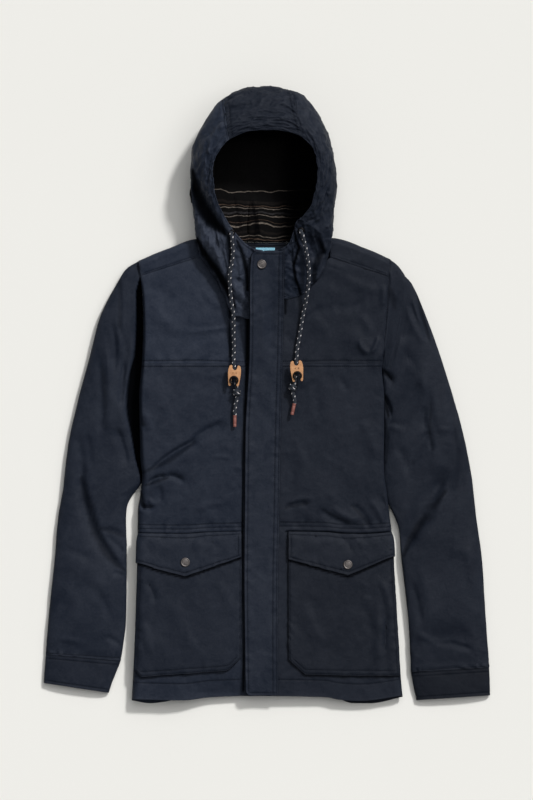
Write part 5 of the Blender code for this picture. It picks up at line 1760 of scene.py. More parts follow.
# ----------------------------------------------------------------------- hood
@dataclass
class HoodForm:
    """Sections of the hood from the right front edge round to the left.

    Columns of its rows are rim x, y and z, rise of the crest, side x, y and z, and foot x, y
    and z.  A foot height of nought lies on the nape, one above 20 on the fronts.
    """

    rows: np.ndarray = table(
        (-6, 233, 44, 3, -6, 124, 32, -6, 133, 25.6),
        (-23, 237, 46, 3, -32, 124, 32, -32, 133, 25.6),
        (-39, 249, 53, 4, -57, 132, 33, -50, 140, 25.8),
        (-57, 270, 62, 3, -69, 163, 34, -61, 164, 25.8),
        (-73, 297, 74, 0, -86, 193, 36, -78, 190, 25.6),
        (-81, 315, 82, 0, -103, 218, 38, -95, 211, 25.4),
        (-85, 330, 87, 2, -112, 243, 40, -106, 232, 25.4),
        (-87, 345, 91, 4, -117, 277, 42, -107.5, 256, 13),
        (-88, 360, 94, 8, -122, 325, 44, -97, 0, 0), (-86, 375, 96, 14, -124, 362, 46, -86, 0, 0),
        (-78, 392, 98, 18, -118, 404, 47, -70, 0, 0), (-61, 411, 99, 20, -85, 464, 48, -48, 0, 0),
        (-32, 424, 99, 20, -46, 490, 46, -28, 0, 0), (-3, 427, 98, 20, -8, 497, 45, -5, 0, 0),
        (29, 425, 98, 20, 30, 493, 45, 20, 0, 0), (57, 415, 97, 20, 61, 480, 46, 42, 0, 0),
        (77, 393, 95, 18, 92, 436, 47, 62, 0, 0), (83, 365, 92, 14, 107, 388, 46, 78, 0, 0),
        (80, 335, 87, 8, 113, 334, 44, 90, 0, 0), (73, 308, 80, 4, 108, 290, 42, 99.5, 257, 13),
        (60, 290, 72, 3, 105, 252, 40, 99, 236, 25.6),
        (47, 278, 65, 3, 97, 217, 38, 90, 213, 25.6), (42, 262, 57, 3, 82, 185, 36, 76, 190, 25.8),
        (34, 243, 50, 3, 58, 163, 33, 53, 171, 25.8), (16, 234, 46, 3, 28, 154, 32, 28, 163, 25.6),
        (-4.4, 233, 44, 3, -4.4, 152, 32, -4.4, 162, 25.6))
    knots: tuple = (0.0, 0.28, 0.55, 0.68, 1.0)
    left_from: int = 21
    left_lower: float = 7.0
    folds: Creases = creases(
        (-125, 346, -74, 251, 1, 12, 0.2, -17), (-100, 262, -66, 178, 6, 10, 0, 5),
        (60, 262, 84, 214, -4, 9, 0, -6), (-70, 452, 60, 452, 6, 12, 0, -2.6))
    fine: Creases = creases(
        (-112, 424, -124, 372, 3, 4, 0.2, -2.2), (-104, 420, -112, 350, 3, 6, 0, 1.8),
        (-98, 404, -92, 350, -3, 5, 0.2, -1.2), (-96, 330, -82, 290, 2, 4, 0, 1.4),
        (-104, 300, -74, 244, 3, 5, 0, 2.0), (-90, 262, -62, 190, 4, 3.4, 0.3, -2.0),
        (-100, 250, -76, 196, 4, 6, 0, 1.4), (-60, 466, -20, 470, 3, 5, 0.2, 0.9),
        (-44, 446, 6, 440, 3, 3.4, 0.3, -1.0), (0, 452, 40, 446, -2, 3.4, 0.3, 0.9),
        (-30, 478, 26, 482, 3, 4, 0, -0.9), (40, 466, 74, 448, -3, 4, 0.3, 1.0),
        (58, 456, 84, 420, 3, 5, 0.2, -1.0), (92, 420, 100, 368, 3, 6, 0.2, 1.2),
        (96, 350, 98, 300, -2, 5, 0, -1.2), (88, 318, 84, 286, 3, 4, 0.3, 1.3),
        (62, 284, 88, 276, 2, 3.6, 0.3, -1.6), (58, 276, 84, 262, 3, 3.4, 0, 1.5),
        (56, 266, 72, 250, 3, 3, 0.3, -1.4), (84, 256, 96, 222, -3, 4.5, 0.3, -3.0),
        (70, 232, 84, 200, -2, 4, 0, 1.6), (40, 236, 46, 186, -2, 4, 0.3, -2.2),
        (34, 214, 52, 174, 2, 4, 0, 1.2), (-44, 226, -36, 186, 2, 4, 0.3, -1.6),
        (-54, 192, -16, 150, 3, 3.6, 0.3, -3.4), (-56, 176, -24, 140, 3, 3.2, 0.3, 2.6),
        (-58, 160, -28, 134, 2, 3.0, 0.3, -3.0), (-52, 224, -46, 178, 2, 3.4, 0.3, -2.4),
        (-78, 444, -62, 456, 2, 4, 0, 0.8))
    wrinkles: Creases = creases(
        (-20, 322, -18, 250, -3, 5.5, 0.3, 7.0), (-30, 322, -28, 248, -3, 5, 0, -1.6),
        (-70, 318, -34, 300, 4, 6, 0.2, 2.4), (-66, 296, -32, 282, 4, 5, 0.2, 2.2),
        (-60, 276, -30, 262, 3, 5, 0, 1.8), (0, 282, 60, 268, 4, 7, 0, 2.6),
        (-10, 300, 50, 306, -3, 7, 0, 1.6), (20, 262, 52, 246, 3, 5, 0, 2.4))

    def controls(self) -> np.ndarray:
        """Rim, crest, side, under and foot of each section.

        Returns:
            Five points for each section.
        """
        rows = self.rows.copy()
        flat = rows[:, 9] == 0
        rows[flat, 8] = smooth(BODY.nape, 1, rows[flat, 7]) + 0.5
        lapped = rows[:, 9] > 20
        rows[lapped, 9] = BODY.loft(rows[lapped, 7], rows[lapped, 8]) + 0.8
        rows[self.left_from:, 6] -= self.left_lower
        rim, side, foot = rows[:, 0:3], rows[:, 4:7], rows[:, 7:10]
        crest = (rim + side) / 2
        crest[:, 2] += rows[:, 3]
        run = foot - side
        share = np.minimum(0.2, 26 / np.hypot(run[:, 0], run[:, 1]))[:, None]
        under = side + run * share
        under[:, 2] = foot[:, 2] + 0.14 * (side[:, 2] - foot[:, 2]) * (rows[:, 9] > 0)
        return np.stack([rim, crest, side, under, foot], 1)

    def rest(self, x: np.ndarray, y: np.ndarray, u: np.ndarray) -> np.ndarray:
        """Height that the collar and the hood's sides rest on.

        Args:
            x: places across, in millimetres.
            y: places along, in millimetres.
            u: section numbers.

        Returns:
            Height that is taken up below.
        """
        line = smooth(BODY.shoulder, 1, x) - SHOULDER_ROLL
        outside = (x < NECK_RIGHT_X + 6) | (x > NECK_LEFT_X - 6)
        past = np.clip((y - line) / SHOULDER_ROLL, 0, 1)
        turned = np.where(past < 1, (1 + np.sqrt(1 - past ** 2)) / 2, 0.0)
        collar = (u <= 6.2) | (u >= 19.8)
        loft = BODY.loft(x, y)
        front = np.where(collar, loft + 1.1, 0.0) * (y < line)
        return np.maximum(front, np.where(outside & (past < 1), loft * turned + 2.2, 0.0))

    def points(self, u: np.ndarray, v: np.ndarray, lining: bool = False) -> np.ndarray:
        """Cubic through each section's five points, with creases, on what is below.

        Args:
            u: section numbers.
            v: shares from the rim to the foot.
            lining: whether the softer inner form is meant.

        Returns:
            Places, with x, y and z on the last axis.
        """
        u, v = np.broadcast_arrays(u, v)
        sections = spline(self.controls(), u.ravel()).swapaxes(0, 1)
        knots = np.array(self.knots)
        step = np.diff(knots).reshape(-1, 1, 1)
        tangent = slopes(step, sections)
        w, n = v.ravel(), np.arange(u.size)
        i = np.clip(np.searchsorted(knots, w, side="right") - 1, 0, len(step) - 1)
        long = step[i, :, 0]
        places = hermite(sections[i, n], sections[i + 1, n], tangent[i, n], tangent[i + 1, n],
                         (w - knots[i])[:, None] / long, long).reshape(u.shape + (3,))
        x, y = places[..., 0], places[..., 1]
        bump = np.clip(v / 0.12, 0, 1) * np.clip((0.56 - v) / 0.10, 0, 1)
        crease = self.folds.rise(x, y, 1.7 if lining else 1.0)
        if not lining:
            crease = crease + self.fine.rise(x, y) * 1.4
        places[..., 2] += crease * bump
        if lining:
            places[..., 2] += self.wrinkles.rise(x, y) * np.clip((v - 0.6) / 0.06, 0, 1)
        rest = np.where(v > 0.4, self.rest(x, y, u), 0.0)
        sewn = 1.1 * np.clip((v - 0.5) / 0.1, 0, 1) * np.clip(u - 20.2, 0, 1)
        places[..., 2] = np.maximum(places[..., 2], rest) - sewn
        return places


HOOD = HoodForm()
# Painted shade on the hood and collar: the collar's shadow, the dark fold on the hood's right side,
# the cords' shadows and dark creases.
HOOD_PAINTED_SHADE = PaintedShade((
    COLLAR_SHADE,
    (0.93, ((-120, 362, 3), (-114, 331, 9), (-105, 305, 12), (-91, 283, 12.5), (-72, 266, 7.5),
            (-61, 257, 4))),
    (0.8, ((-62, 258, 4), (-59, 232, 3.4), (-60, 214, 2))),
    (0.93, ((-48.4, 249, 2), (-42, 234.5, 3.4), (-35.5, 215, 4.2), (-32, 194, 3.6),
            (-31.4, 169, 2.6))),
    (0.93, ((44, 270, 1.6), (47, 250, 2.4), (52, 238, 2.6), (43, 209, 2.6), (46, 190, 2.8),
            (55, 161, 2.6))),
    (0.7, ((78, 258, 3), (90, 234, 6), (78, 208, 5.5), (76, 185, 4), (80, 165, 3))),
    (0.3, ((-66, 166, 2), (-84, 200, 2)))))


# How many sections the seam at a section number leans over towards the foot.
SEAM_LEAN = {11.0: 0.45, 15.0: -0.8}


@dataclass
class HoodPiece(Cloth):
    """A side of the hood, its middle strip or its lining, between two sections."""

    start: float = 0.0
    stop: float = 25.0
    rim: float = 0.0
    foot: float = 1.0
    inset: float = 0.0

    def surface(self, u: np.ndarray, v: np.ndarray) -> np.ndarray:
        """Places between the piece's sections, moved in by its depth.

        Args:
            u: shares across the piece.
            v: shares along the piece.

        Returns:
            Places, with x, y and z on the last axis.
        """
        share = self.rim + (self.foot - self.rim) * v
        lean = np.clip(share / 0.55, 0, 1)
        start = self.start + lean * SEAM_LEAN.get(self.start, 0.0)
        stop = self.stop + lean * SEAM_LEAN.get(self.stop, 0.0)
        row = start + (stop - start) * u
        lining = self.inset > 0
        places = HOOD.points(row, share, lining)
        if lining:
            e, f = 0.02, 0.005
            du = HOOD.points(row + e, share, True) - HOOD.points(row - e, share, True)
            dv = HOOD.points(row, share + f, True) - HOOD.points(row, share - f, True)
            places = places - unit(np.cross(du, dv)) * self.inset
        return places

    def depth(self, u: np.ndarray, v: np.ndarray, places: np.ndarray) -> np.ndarray:
        """The hood's painted shade stays on its upper side; that of the collar reaches down.

        Args:
            u: shares across the piece.
            v: shares along the piece.
            places: finished places at those shares.

        Returns:
            Painted shade, from nought to one.
        """
        y, z = places[..., 1], places[..., 2]
        keep = np.maximum(np.clip((z - 30) / 12, 0, 1), np.clip((262 - y) / 10, 0, 1))
        return super().depth(u, v, places) * (keep if self.inset == 0 else 1.0)

    def tone(self, places: np.ndarray) -> np.ndarray:
        """Painted light: paler on the collar at both sides, where it faces the light.

        Args:
            places: finished places.

        Returns:
            Painted light and shade, one as woven.
        """
        x, y = places[..., 0], places[..., 1]
        pale = np.clip((345 - y) / 90, 0, 1) * np.clip((-25 - x) / 10, 0, 1)
        near = np.clip((268 - y) / 20, 0, 1) * np.clip((x - 25) / 5, 0, 1)
        near = near * np.clip((75 - x) / 20, 0, 1)
        return super().tone(places) + 0.38 * pale + 0.25 * near

    def relief(self, u: np.ndarray, v: np.ndarray) -> np.ndarray:
        """The crumple dies out at the foot, where the collar is sewn down."""
        held = np.clip((1 - v) * self.length / 10.0, 0.12, 1) if self.inset == 0 else 1.0
        return super().relief(u, v) * held


# ------------------------------------------------------- what lies on the body
class Drape:
    """Heights of all that lies below on a grid of small cells, spread and softened."""

    def __init__(self, low: tuple[float, float], high: tuple[float, float], cell: float) -> None:
        """Start with nothing below.

        Args:
            low: least x and y.
            high: greatest x and y.
            cell: side of a cell in millimetres.
        """
        self.low = np.array(low)
        self.cell = cell
        count = np.ceil((np.array(high) - self.low) / cell).astype(int) + 1
        self.z = np.zeros(count)

    def add(self, places: np.ndarray) -> None:
        """Raise each cell to the highest place in it.

        Args:
            places: places of what lies below.
        """
        spots = places.reshape(-1, 3)
        index = np.round((spots[:, :2] - self.low) / self.cell).astype(int)
        inside = ((index >= 0) & (index < self.z.shape)).all(1)
        np.maximum.at(self.z, tuple(index[inside].T), spots[inside, 2])

    def settle(self, *reach: float) -> None:
        """Spread the highest heights by a reach for each axis, then average over the same.

        Args:
            reach: reach in millimetres for x and for y.
        """
        steps = [range(-int(r / self.cell), int(r / self.cell) + 1) for r in reach]
        for axis, span in enumerate(steps):
            self.z = np.max([np.roll(self.z, k, axis) for k in span], axis=0)
        for axis, span in enumerate(steps):
            self.z = np.mean([np.roll(self.z, k, axis) for k in span], axis=0)

    def read(self, x: np.ndarray, y: np.ndarray) -> np.ndarray:
        """Height at x, y, blended between cells.

        Args:
            x: places across, in millimetres.
            y: places along, in millimetres.

        Returns:
            Height at each place.
        """
        a, b = (x - self.low[0]) / self.cell, (y - self.low[1]) / self.cell
        i = np.clip(np.floor(a).astype(int), 0, self.z.shape[0] - 2)
        j = np.clip(np.floor(b).astype(int), 0, self.z.shape[1] - 2)
        s, t = np.clip(a - i, 0, 1), np.clip(b - j, 0, 1)
        low = self.z[i, j] * (1 - s) + self.z[i + 1, j] * s
        high = self.z[i, j + 1] * (1 - s) + self.z[i + 1, j + 1] * s
        return low * (1 - t) + high * t


@dataclass
class StormFlap(Cloth):
    """The flap over the front edges, from the chin to the hem, raised over hidden studs.

    Columns of its edges are y, right x and left x.
    """

    edges: np.ndarray = table(
        (-488, -30, 18), (-480, -35, 18), (-409, -36, 18), (-294, -37.2, 18.6), (-176, -36.4, 21),
        (-57, -35.2, 23), (7, -31.8, 24.4), (60, -28.8, 25.8), (116, -28.2, 27), (169, -28.4, 28),
        (223, -26, 28), (228, -24, 28), (232, -18, 27))
    studs: np.ndarray = table(
        (-22, 134), (-24, 24), (-23, -87), (-22, -198), (-21, -308), (-20, -456))
    run: float = 720.0
    below: Drape | None = None

    def surface(self, u: np.ndarray, v: np.ndarray) -> np.ndarray:
        """Shares from the right edge to the left and from the hem up, on what is below.

        Args:
            u: shares across the piece.
            v: shares along the piece.

        Returns:
            Places, with x, y and z on the last axis.
        """
        u, v = np.broadcast_arrays(u, v)
        y = HEM_Y + self.run * v
        right, left = smooth(self.edges, 1, y), smooth(self.edges, 2, y)
        x = right + (left - right) * u
        z = self.below.read(x, y) + 0.5 + self.wall
        z = z + (1.8 + 2.6 * np.clip((y + 30) / 70, 0, 1)) * np.exp(-((x - right) / 8.0) ** 2)
        for sx, sy in self.studs:
            z = z + 0.9 * np.exp(-(((x - sx) ** 2 + (y - sy) ** 2) / 62.0) ** 2)
        return np.stack([x, y, z], -1)


@dataclass
class Patch(Cloth):
    """A pocket or its flap, laid on a lower front and moved out from it."""

    side: Side = Side.RIGHT
    inner: float = 0.0
    lower: np.ndarray = table((0, 0))
    upper_y: float = -240.0
    rise_out: float = 3.6
    flap: bool = False

    def surface(self, u: np.ndarray, v: np.ndarray) -> np.ndarray:
        """Body places moved out, less at the sewn edges and more in the middle.

        Args:
            u: shares across the piece.
            v: shares along the piece.

        Returns:
            Places, with x, y and z on the last axis.
        """
        u, v = np.broadcast_arrays(u, v)
        last = 0.955 if self.side is Side.RIGHT else 0.962
        hem = lambda x: smooth(BODY.front_hem, 1, x)
        low = lambda x: np.interp(x, self.lower[:, 0], self.lower[:, 1])
        high = (lambda x: hem(x) + (CHEST_SEAM_Y - hem(x)) * FLAP_TOP - 1.2) if self.flap else \
            (lambda x: self.upper_y + 0 * x)
        shares = u * last
        e = 0.002
        places = BODY.patch(self.side, self.inner, low, high, shares, v)
        du = BODY.patch(self.side, self.inner, low, high, shares + e, v) - places
        dv = BODY.patch(self.side, self.inner, low, high, shares, v + e) - places
        normal = np.cross(du, dv)
        normal = unit(normal * np.sign(normal[..., 2:3] + 1e-12))
        if self.flap:
            lift = 1 - np.clip((v - 0.66) / 0.34, 0, 1) ** 2
            out = self.wall + 0.5 + (self.rise_out + 0.6) * lift
        else:
            full = np.clip(u / 0.03, 0, 1) * np.clip((1 - u) / 0.05, 0, 1)
            full = full * np.clip(v / 0.03, 0, 1)
            full_v = np.sin(math.pi * np.clip(v, 0, 1) * 0.7)
            sag = 1.1 * np.sin(math.pi * np.clip(u, 0, 1)) * full_v
            out = self.wall + 1.7 + (self.rise_out - 2.6) * np.sqrt(full) + sag * 0.8
        return places + normal * np.broadcast_to(out, u.shape)[..., None]


@dataclass
class NeckFacing(Cloth):
    """Facing inside the back neck, and the plain loop label on it."""

    box: tuple = (-84.0, 78.0, 206.0)
    top: float = 3.1
    label: bool = False
    label_long: float = 18.0

    def surface(self, u: np.ndarray, v: np.ndarray) -> np.ndarray:
        """A flat strip; the facing follows the nape, the label is a slightly bowed rectangle.

        Args:
            u: shares across the piece.
            v: shares along the piece.

        Returns:
            Places, with x, y and z on the last axis.
        """
        u, v = np.broadcast_arrays(u, v)
        x = self.box[0] + (self.box[1] - self.box[0]) * u
        if self.label:
            bow = 0.5 * np.sin(math.pi * v)
            return np.stack([x, self.box[2] + self.label_long * v, self.top + bow], -1)
        low = self.box[2] + 0.0018 * x * x
        high = smooth(BODY.nape, 1, x) - 2.0
        return np.stack([x, low + (high - low) * v, self.top + 0 * x], -1)


# --------------------------------------------------------------- small pieces
@dataclass
class Studs:
    """Press-stud caps: a domed disc with a rolled rim and a ring in it."""

    places: dict = field(default_factory=lambda: {
        "snap_placket": (-8.3, 210.8), "snap_flap_right": (-131.9, -271.2),
        "snap_flap_left": (131.1, -275.1)})
    radius: float = 7.5

    def build(self, carriers: dict[str, bpy.types.Object]) -> None:
        """Turn each cap about the vertical, on the highest place of what it sits on.

        Args:
            carriers: the piece that each cap sits on, by the cap's name.
        """
        r = self.radius
        profile = [(0.001, 0.0), (r - 0.9, 0.0), (r - 0.15, 0.35), (r, 1.0), (r - 0.25, 1.6),
                   (r - 0.9, 1.95), (r - 1.6, 1.9), (r - 2.0, 1.6), (r - 2.6, 1.55),
                   (r - 3.2, 1.75), (r - 3.9, 1.95), (r - 4.4, 1.8), (r - 5.0, 1.85),
                   (r - 6.3, 2.05), (0.001, 2.12)]
        for name, (x, y) in self.places.items():
            spots = vertices_of(carriers[name].data) / MM
            near = np.hypot(spots[:, 0] - x, spots[:, 1] - CENTRE_Y - y) < r
            base = float(spots[near, 2].max()) - 0.35
            verts, faces = lathe(profile, (x, y, base), Vector((0, 0, 1)), 56)
            dress(put_mesh("cap_" + name, verts, faces), "stud_metal", name)


@dataclass
class Drawcord:
    """A drawcord with its eyelet, leather toggle, ring, knot and tip.

    toggle_at holds x, y and turn in degrees; half is the right half of the toggle's outline,
    from the top round to the bottom; tip_shape holds places along the tip and its radii.
    """

    side: Side
    route: np.ndarray
    toggle_at: tuple[float, float, float]
    knot_y: float
    eyelet_out: tuple[float, float, float]
    radius: float = 3.1
    half: tuple = ((0.0, 8.6), (-2.6, 9.6), (-4.4, 12.5), (-4.8, 16.6), (-6.4, 17.4), (-8.8, 16.0),
                   (-10.2, 11.0), (-10.6, 4.0), (-9.6, -6.0), (-8.6, -15.0), (-7.8, -17.2),
                   (-5.6, -17.0), (-4.8, -13.0), (-4.4, -5.0), (-3.0, -1.8), (0.0, -0.6))
    tip_shape: np.ndarray = table(
        (0.0, 2.6), (0.3, 2.9), (0.9, 2.95), (3.0, 2.9), (3.3, 2.7), (4.1, 2.7), (4.4, 2.85),
        (13.4, 2.75), (13.7, 2.6), (14.5, 2.6), (14.8, 2.75), (18.0, 2.7), (18.7, 2.5),
        (19.0, 1.9))
    eyelet: tuple = ((3.5, -0.5), (4.0, -0.9), (5.0, -0.95), (5.65, -0.5), (5.7, 0.0), (5.3, 0.55),
                     (4.6, 0.95), (3.9, 0.85), (3.5, 0.3))
    ring_gap: float = 30.0

    def braid(self, name: str, path: np.ndarray, radius: float) -> bpy.types.Object:
        """Tube whose radius swells where two strands cross, with angle and length as UV.

        Args:
            name: name of the piece.
            path: centre line.
            radius: radius of the braid.

        Returns:
            The braid, not yet dressed.
        """
        around = 28
        step = np.linalg.norm(np.diff(path, axis=0), axis=1)
        s = np.concatenate([[0], np.cumsum(step)])
        a = np.linspace(0, 1, around, endpoint=False)[None, :]
        finish = FINISHES["cord_braid"]
        p = (a + s[:, None] * MM / finish.turn_m) * finish.strands
        q = (a - s[:, None] * MM / finish.turn_m) * finish.strands
        swell = np.abs(np.cos((p % 1 - 0.5) * math.pi) * np.cos((q % 1 - 0.5) * math.pi)) ** 0.5
        verts, faces = sweep(path, radius * (0.93 + 0.09 * swell), around)
        length = np.concatenate([[s[0]], s, [s[-1]]])
        uv = np.stack(np.broadcast_arrays(a, length[:, None] * MM), -1).reshape(-1, 2)
        made = put_mesh(name, verts, faces, uv)
        loops = np.empty(len(made.data.loops) * 2, np.float32)
        layer = made.data.uv_layers["cut"].data
        layer.foreach_get("uv", loops)
        loops = loops.reshape(-1, 4, 2)
        wraps = loops[:, :, 0].max(1) - loops[:, :, 0].min(1) > 0.5
        fixed = loops[:, :, 0] + (wraps[:, None] & (loops[:, :, 0] < 0.5))
        loops[:, :, 0] = fixed
        layer.foreach_set("uv", loops.ravel())
        return made

    def centre(self) -> np.ndarray:
        """The route as a close smooth line."""
        return spline(self.route, np.linspace(0, len(self.route) - 1, 520))

    def outline(self) -> list[tuple[float, float]]:
        """Both halves of the toggle's outline."""
        return list(self.half) + [(-x, y) for x, y in reversed(self.half)][1:-1]

    def toggle(self) -> bpy.types.Object:
        """Flat curve with two holes, thick and rounded, made a mesh and then put in place.

        Returns:
            The finished toggle.
        """
        x0, y0, degrees = self.toggle_at
        low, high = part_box("toggle_" + self.side.word)
        data = bpy.data.curves.new("toggle_cut", "CURVE")
        data.dimensions, data.fill_mode = "2D", "BOTH"
        data.extrude, data.bevel_depth, data.bevel_resolution = 0.0009, 0.0005, 2
        turns = np.linspace(0, 2 * math.pi, 14, endpoint=False)
        holes = [[(middle + 1.0 * math.cos(t), 4.2 + 1.6 * math.sin(t)) for t in turns]
                 for middle in (-2.6, 2.6)]
        for line, scale in [(self.outline(), 0.95)] + [(hole, 1.0) for hole in holes]:
            strand = data.splines.new("POLY")
            strand.use_cyclic_u = True
            strand.points.add(len(line) - 1)
            strand.points.foreach_set("co", [c for x, y in line
                                             for c in (x * scale * MM, y * scale * MM, 0.0, 1.0)])
        loose = link("toggle_cut", data)
        settled = loose.evaluated_get(bpy.context.evaluated_depsgraph_get())
        mesh = bpy.data.meshes.new_from_object(settled)
        bpy.data.objects.remove(loose, do_unlink=True)
        spots = vertices_of(mesh)
        turn = math.radians(degrees)
        x = spots[:, 0] * math.cos(turn) - spots[:, 1] * math.sin(turn) + x0 * MM
        y = spots[:, 0] * math.sin(turn) + spots[:, 1] * math.cos(turn) + (y0 + CENTRE_Y) * MM
        z = spots[:, 2] + (low[2] + high[2]) / 2 + 0.4 * MM * np.cos((spots[:, 1] / MM) / 9.0)
        mesh.vertices.foreach_set("co", np.stack([x, y, z], -1).astype(np.float32).ravel())
        mesh.update()
        made = link("leather_toggle_" + self.side.word, mesh)
        return dress(made, "tan_leather", "toggle_" + self.side.word)

    def ring(self) -> bpy.types.Object:
        """An open loop of round wire at the foot of the toggle.

        Returns:
            The finished ring.
        """
        x0, y0, degrees = self.toggle_at
        turn = math.radians(degrees)
        low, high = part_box("ring_" + self.side.word)
        z = (low[2] + high[2]) / 2 / MM + 0.2
        t = np.radians(np.linspace(-90 + self.ring_gap, 270 - self.ring_gap, 40))
        arc = np.stack([x0 + 7.5 * math.sin(turn) + 5.9 * np.cos(t + turn),
                        y0 - 7.5 * math.cos(turn) + 5.9 * np.sin(t + turn), 0 * t + z], -1)
        made = put_mesh("loop_" + self.side.word, *sweep(arc, np.full(40, 1.7), 16))
        return dress(made, "ring", "ring_" + self.side.word)

    def knot(self, path: np.ndarray) -> bpy.types.Object:
        """A coil of the same braid, 1.42 turns round the cord.

        Args:
            path: centre line of the cord.

        Returns:
            The finished knot.
        """
        at = int(np.argmin(np.abs(path[:, 1] - self.knot_y)))
        run = unit(path[at + 4] - path[at - 4])
        side = unit(np.cross(run, (0, 0, 1.0)))
        up = np.cross(side, run)
        k = np.linspace(0, 1, 150)[:, None]
        a = 0.6 + k * 2 * math.pi * 1.42
        coil = path[at] + (side * np.cos(a) * 4.4 + up * np.sin(a) * 4.2) + run * (k - 0.5) * 6.5
        made = self.braid("knot_" + self.side.word + "_braid", coil + side * 0.8, 2.5)
        return dress(made, "cord_braid", "knot_" + self.side.word)

    def build(self) -> bpy.types.Object:
        """Make the cord and all on it.

        Returns:
            The finished cord.
        """
        word = self.side.word
        path = self.centre()
        cord = dress(self.braid("braid_" + word, path, self.radius), "cord_braid",
                     "drawcord_" + word)
        ring, knot = self.ring(), self.knot(path)
        run = unit(path[-1] - path[-6])
        along, width = self.tip_shape.T
        verts, faces = sweep(path[-1] + run * (along[:, None] + GAP), width, 32)
        tip = dress(put_mesh("ferrule_" + word, verts, faces), "cord_ferrule", "cord_tip_" + word)
        toggle = self.toggle()
        verts, faces = lathe(self.eyelet, path[0] + np.array(self.eyelet_out) * 0.4,
                             Vector(self.eyelet_out), 40)
        dress(put_mesh("grommet_" + word, verts, faces), "ring", "eyelet_" + word)
        line = path * MM
        line[:, 1] += CENTRE_Y * MM
        [tuple(map(float, p)) for p in line[::13]] + [tuple(map(float, line[-1]))]
        return cord


DRAWCORDS = {
    Side.RIGHT: Drawcord(Side.RIGHT, rows_of(
        (-57.1, 261.75, 59.7), (-57.6, 260.35, 63.1), (-56.4, 252.05, 66.4), (-55.7, 241.85, 63.2),
        (-55.0, 231.15, 60.6), (-55.8, 220.45, 57.8), (-57.3, 209.95, 55.7), (-59.4, 199.95, 54.2),
        (-60.3, 190.35, 52.0), (-60.0, 180.05, 49.8), (-59.0, 164.95, 46.5), (-57.0, 148.15, 43.7),
        (-54.3, 130.45, 40.9), (-53.8, 113.25, 38.1), (-54.0, 96.85, 34.4), (-53.6, 81.65, 31.8),
        (-53.7, 68.25, 31.3), (-54.0, 56.05, 33.3), (-52.9, 43.65, 34.2), (-51.4, 30.45, 34.4),
        (-49.8, 16.35, 34.2), (-48.4, 6.85, 34.1), (-48.2, -2.25, 33.9), (-50.7, -15.35, 33.1),
        (-51.9, -25.35, 32.6), (-52.0, -33.05, 32.3)),
        toggle_at=(-52.8, 30.5, -4.0), knot_y=3.0, eyelet_out=(-0.15, -0.38, 0.91)),
    Side.LEFT: Drawcord(Side.LEFT, rows_of(
        (55.0, 264.65, 60.9), (54.8, 263.25, 64.3), (57.4, 257.55, 65.5), (60.2, 247.15, 60.6),
        (63.4, 232.95, 56.4), (66.1, 218.05, 53.2), (67.7, 203.15, 50.6), (67.8, 189.85, 48.0),
        (66.6, 173.95, 43.8), (64.0, 156.05, 39.5), (60.2, 138.35, 33.3), (56.9, 121.35, 30.8),
        (54.5, 105.15, 29.3), (51.6, 89.55, 29.3), (49.2, 75.45, 29.9), (48.3, 64.35, 31.7),
        (47.6, 53.35, 32.9), (47.0, 41.95, 33.5), (45.9, 29.05, 33.4), (44.2, 18.35, 33.1),
        (42.2, 11.35, 32.8), (41.9, 4.85, 32.6), (42.7, -1.25, 32.5), (44.5, -7.05, 32.6),
        (45.0, -11.15, 32.7), (44.5, -14.05, 32.7)),
        toggle_at=(48.6, 38.0, 5.0), knot_y=11.0, eyelet_out=(-0.05, -0.37, 0.93)),
}


# ---------------------------------------------------------------------- stage
@dataclass(frozen=True)
class Studio:
    """Pale floor, a key and a softer lamp from the upper right, even fill and the camera."""

    frame_m: float = 1.296
    lens: float = 600.0
    centre: tuple[float, float] = (-0.00065, -0.0079)
    fill: float = 0.20
    floor: tuple[float, float, float] = (0.797, 0.7965, 0.770)
    # Columns: name, power, width in degrees, height in degrees, way over the floor
    lamps: tuple = (("key", 2.45, 7.0, 40.0, (0.565, 0.825)),
                    ("soft", 1.36, 74.0, 60.0, (0.45, 0.62)))
    sensor_mm: float = 36.0

    def build(self) -> None:
        """Place the camera straight above, the lamps, the world and the floor."""
        scene = bpy.context.scene
        scene.view_settings.view_transform = "Standard"
        camera = bpy.data.cameras.new("camera")
        camera.lens = self.lens
        camera.sensor_width = self.sensor_mm
        camera.sensor_fit = "AUTO"
        camera.clip_end = 100.0
        scene.camera = link("camera", camera)
        scene.camera.location = (*self.centre, self.frame_m * self.lens / self.sensor_mm)
        for name, power, width, height, way in self.lamps:
            light = bpy.data.lights.new(name, "SUN")
            light.energy = power
            light.angle = math.radians(width)
            light.color = (1.0, 0.985, 0.965)
            flat = Vector((*way, 0.0)).normalized() * math.cos(math.radians(height))
            towards = Vector((flat.x, flat.y, math.sin(math.radians(height))))
            link(name, light).rotation_euler = towards.to_track_quat("Z", "Y").to_euler()
        world = bpy.data.worlds.new("fill")
        world.use_nodes = True
        sky = world.node_tree.nodes["Background"]
        sky.inputs["Color"].default_value = (0.97, 0.985, 1.0, 1.0)
        sky.inputs["Strength"].default_value = self.fill
        scene.world = world
        mesh = bpy.data.meshes.new("floor")
        mesh.from_pydata([(-9, -9, 0), (9, -9, 0), (9, 9, 0), (-9, 9, 0)], [], [(0, 1, 2, 3)])
        looks = Looks("floor_paint")
        tone = clouds(looks, 3.0, 2.0)
        pale = tuple(c * 1.012 for c in self.floor)
        looks.feed(Base_Color=looks.mix(tone, self.floor, pale), Roughness=0.9,
                   Specular_IOR_Level=0.1)
        mesh.materials.append(looks.material)
        link("floor", mesh)


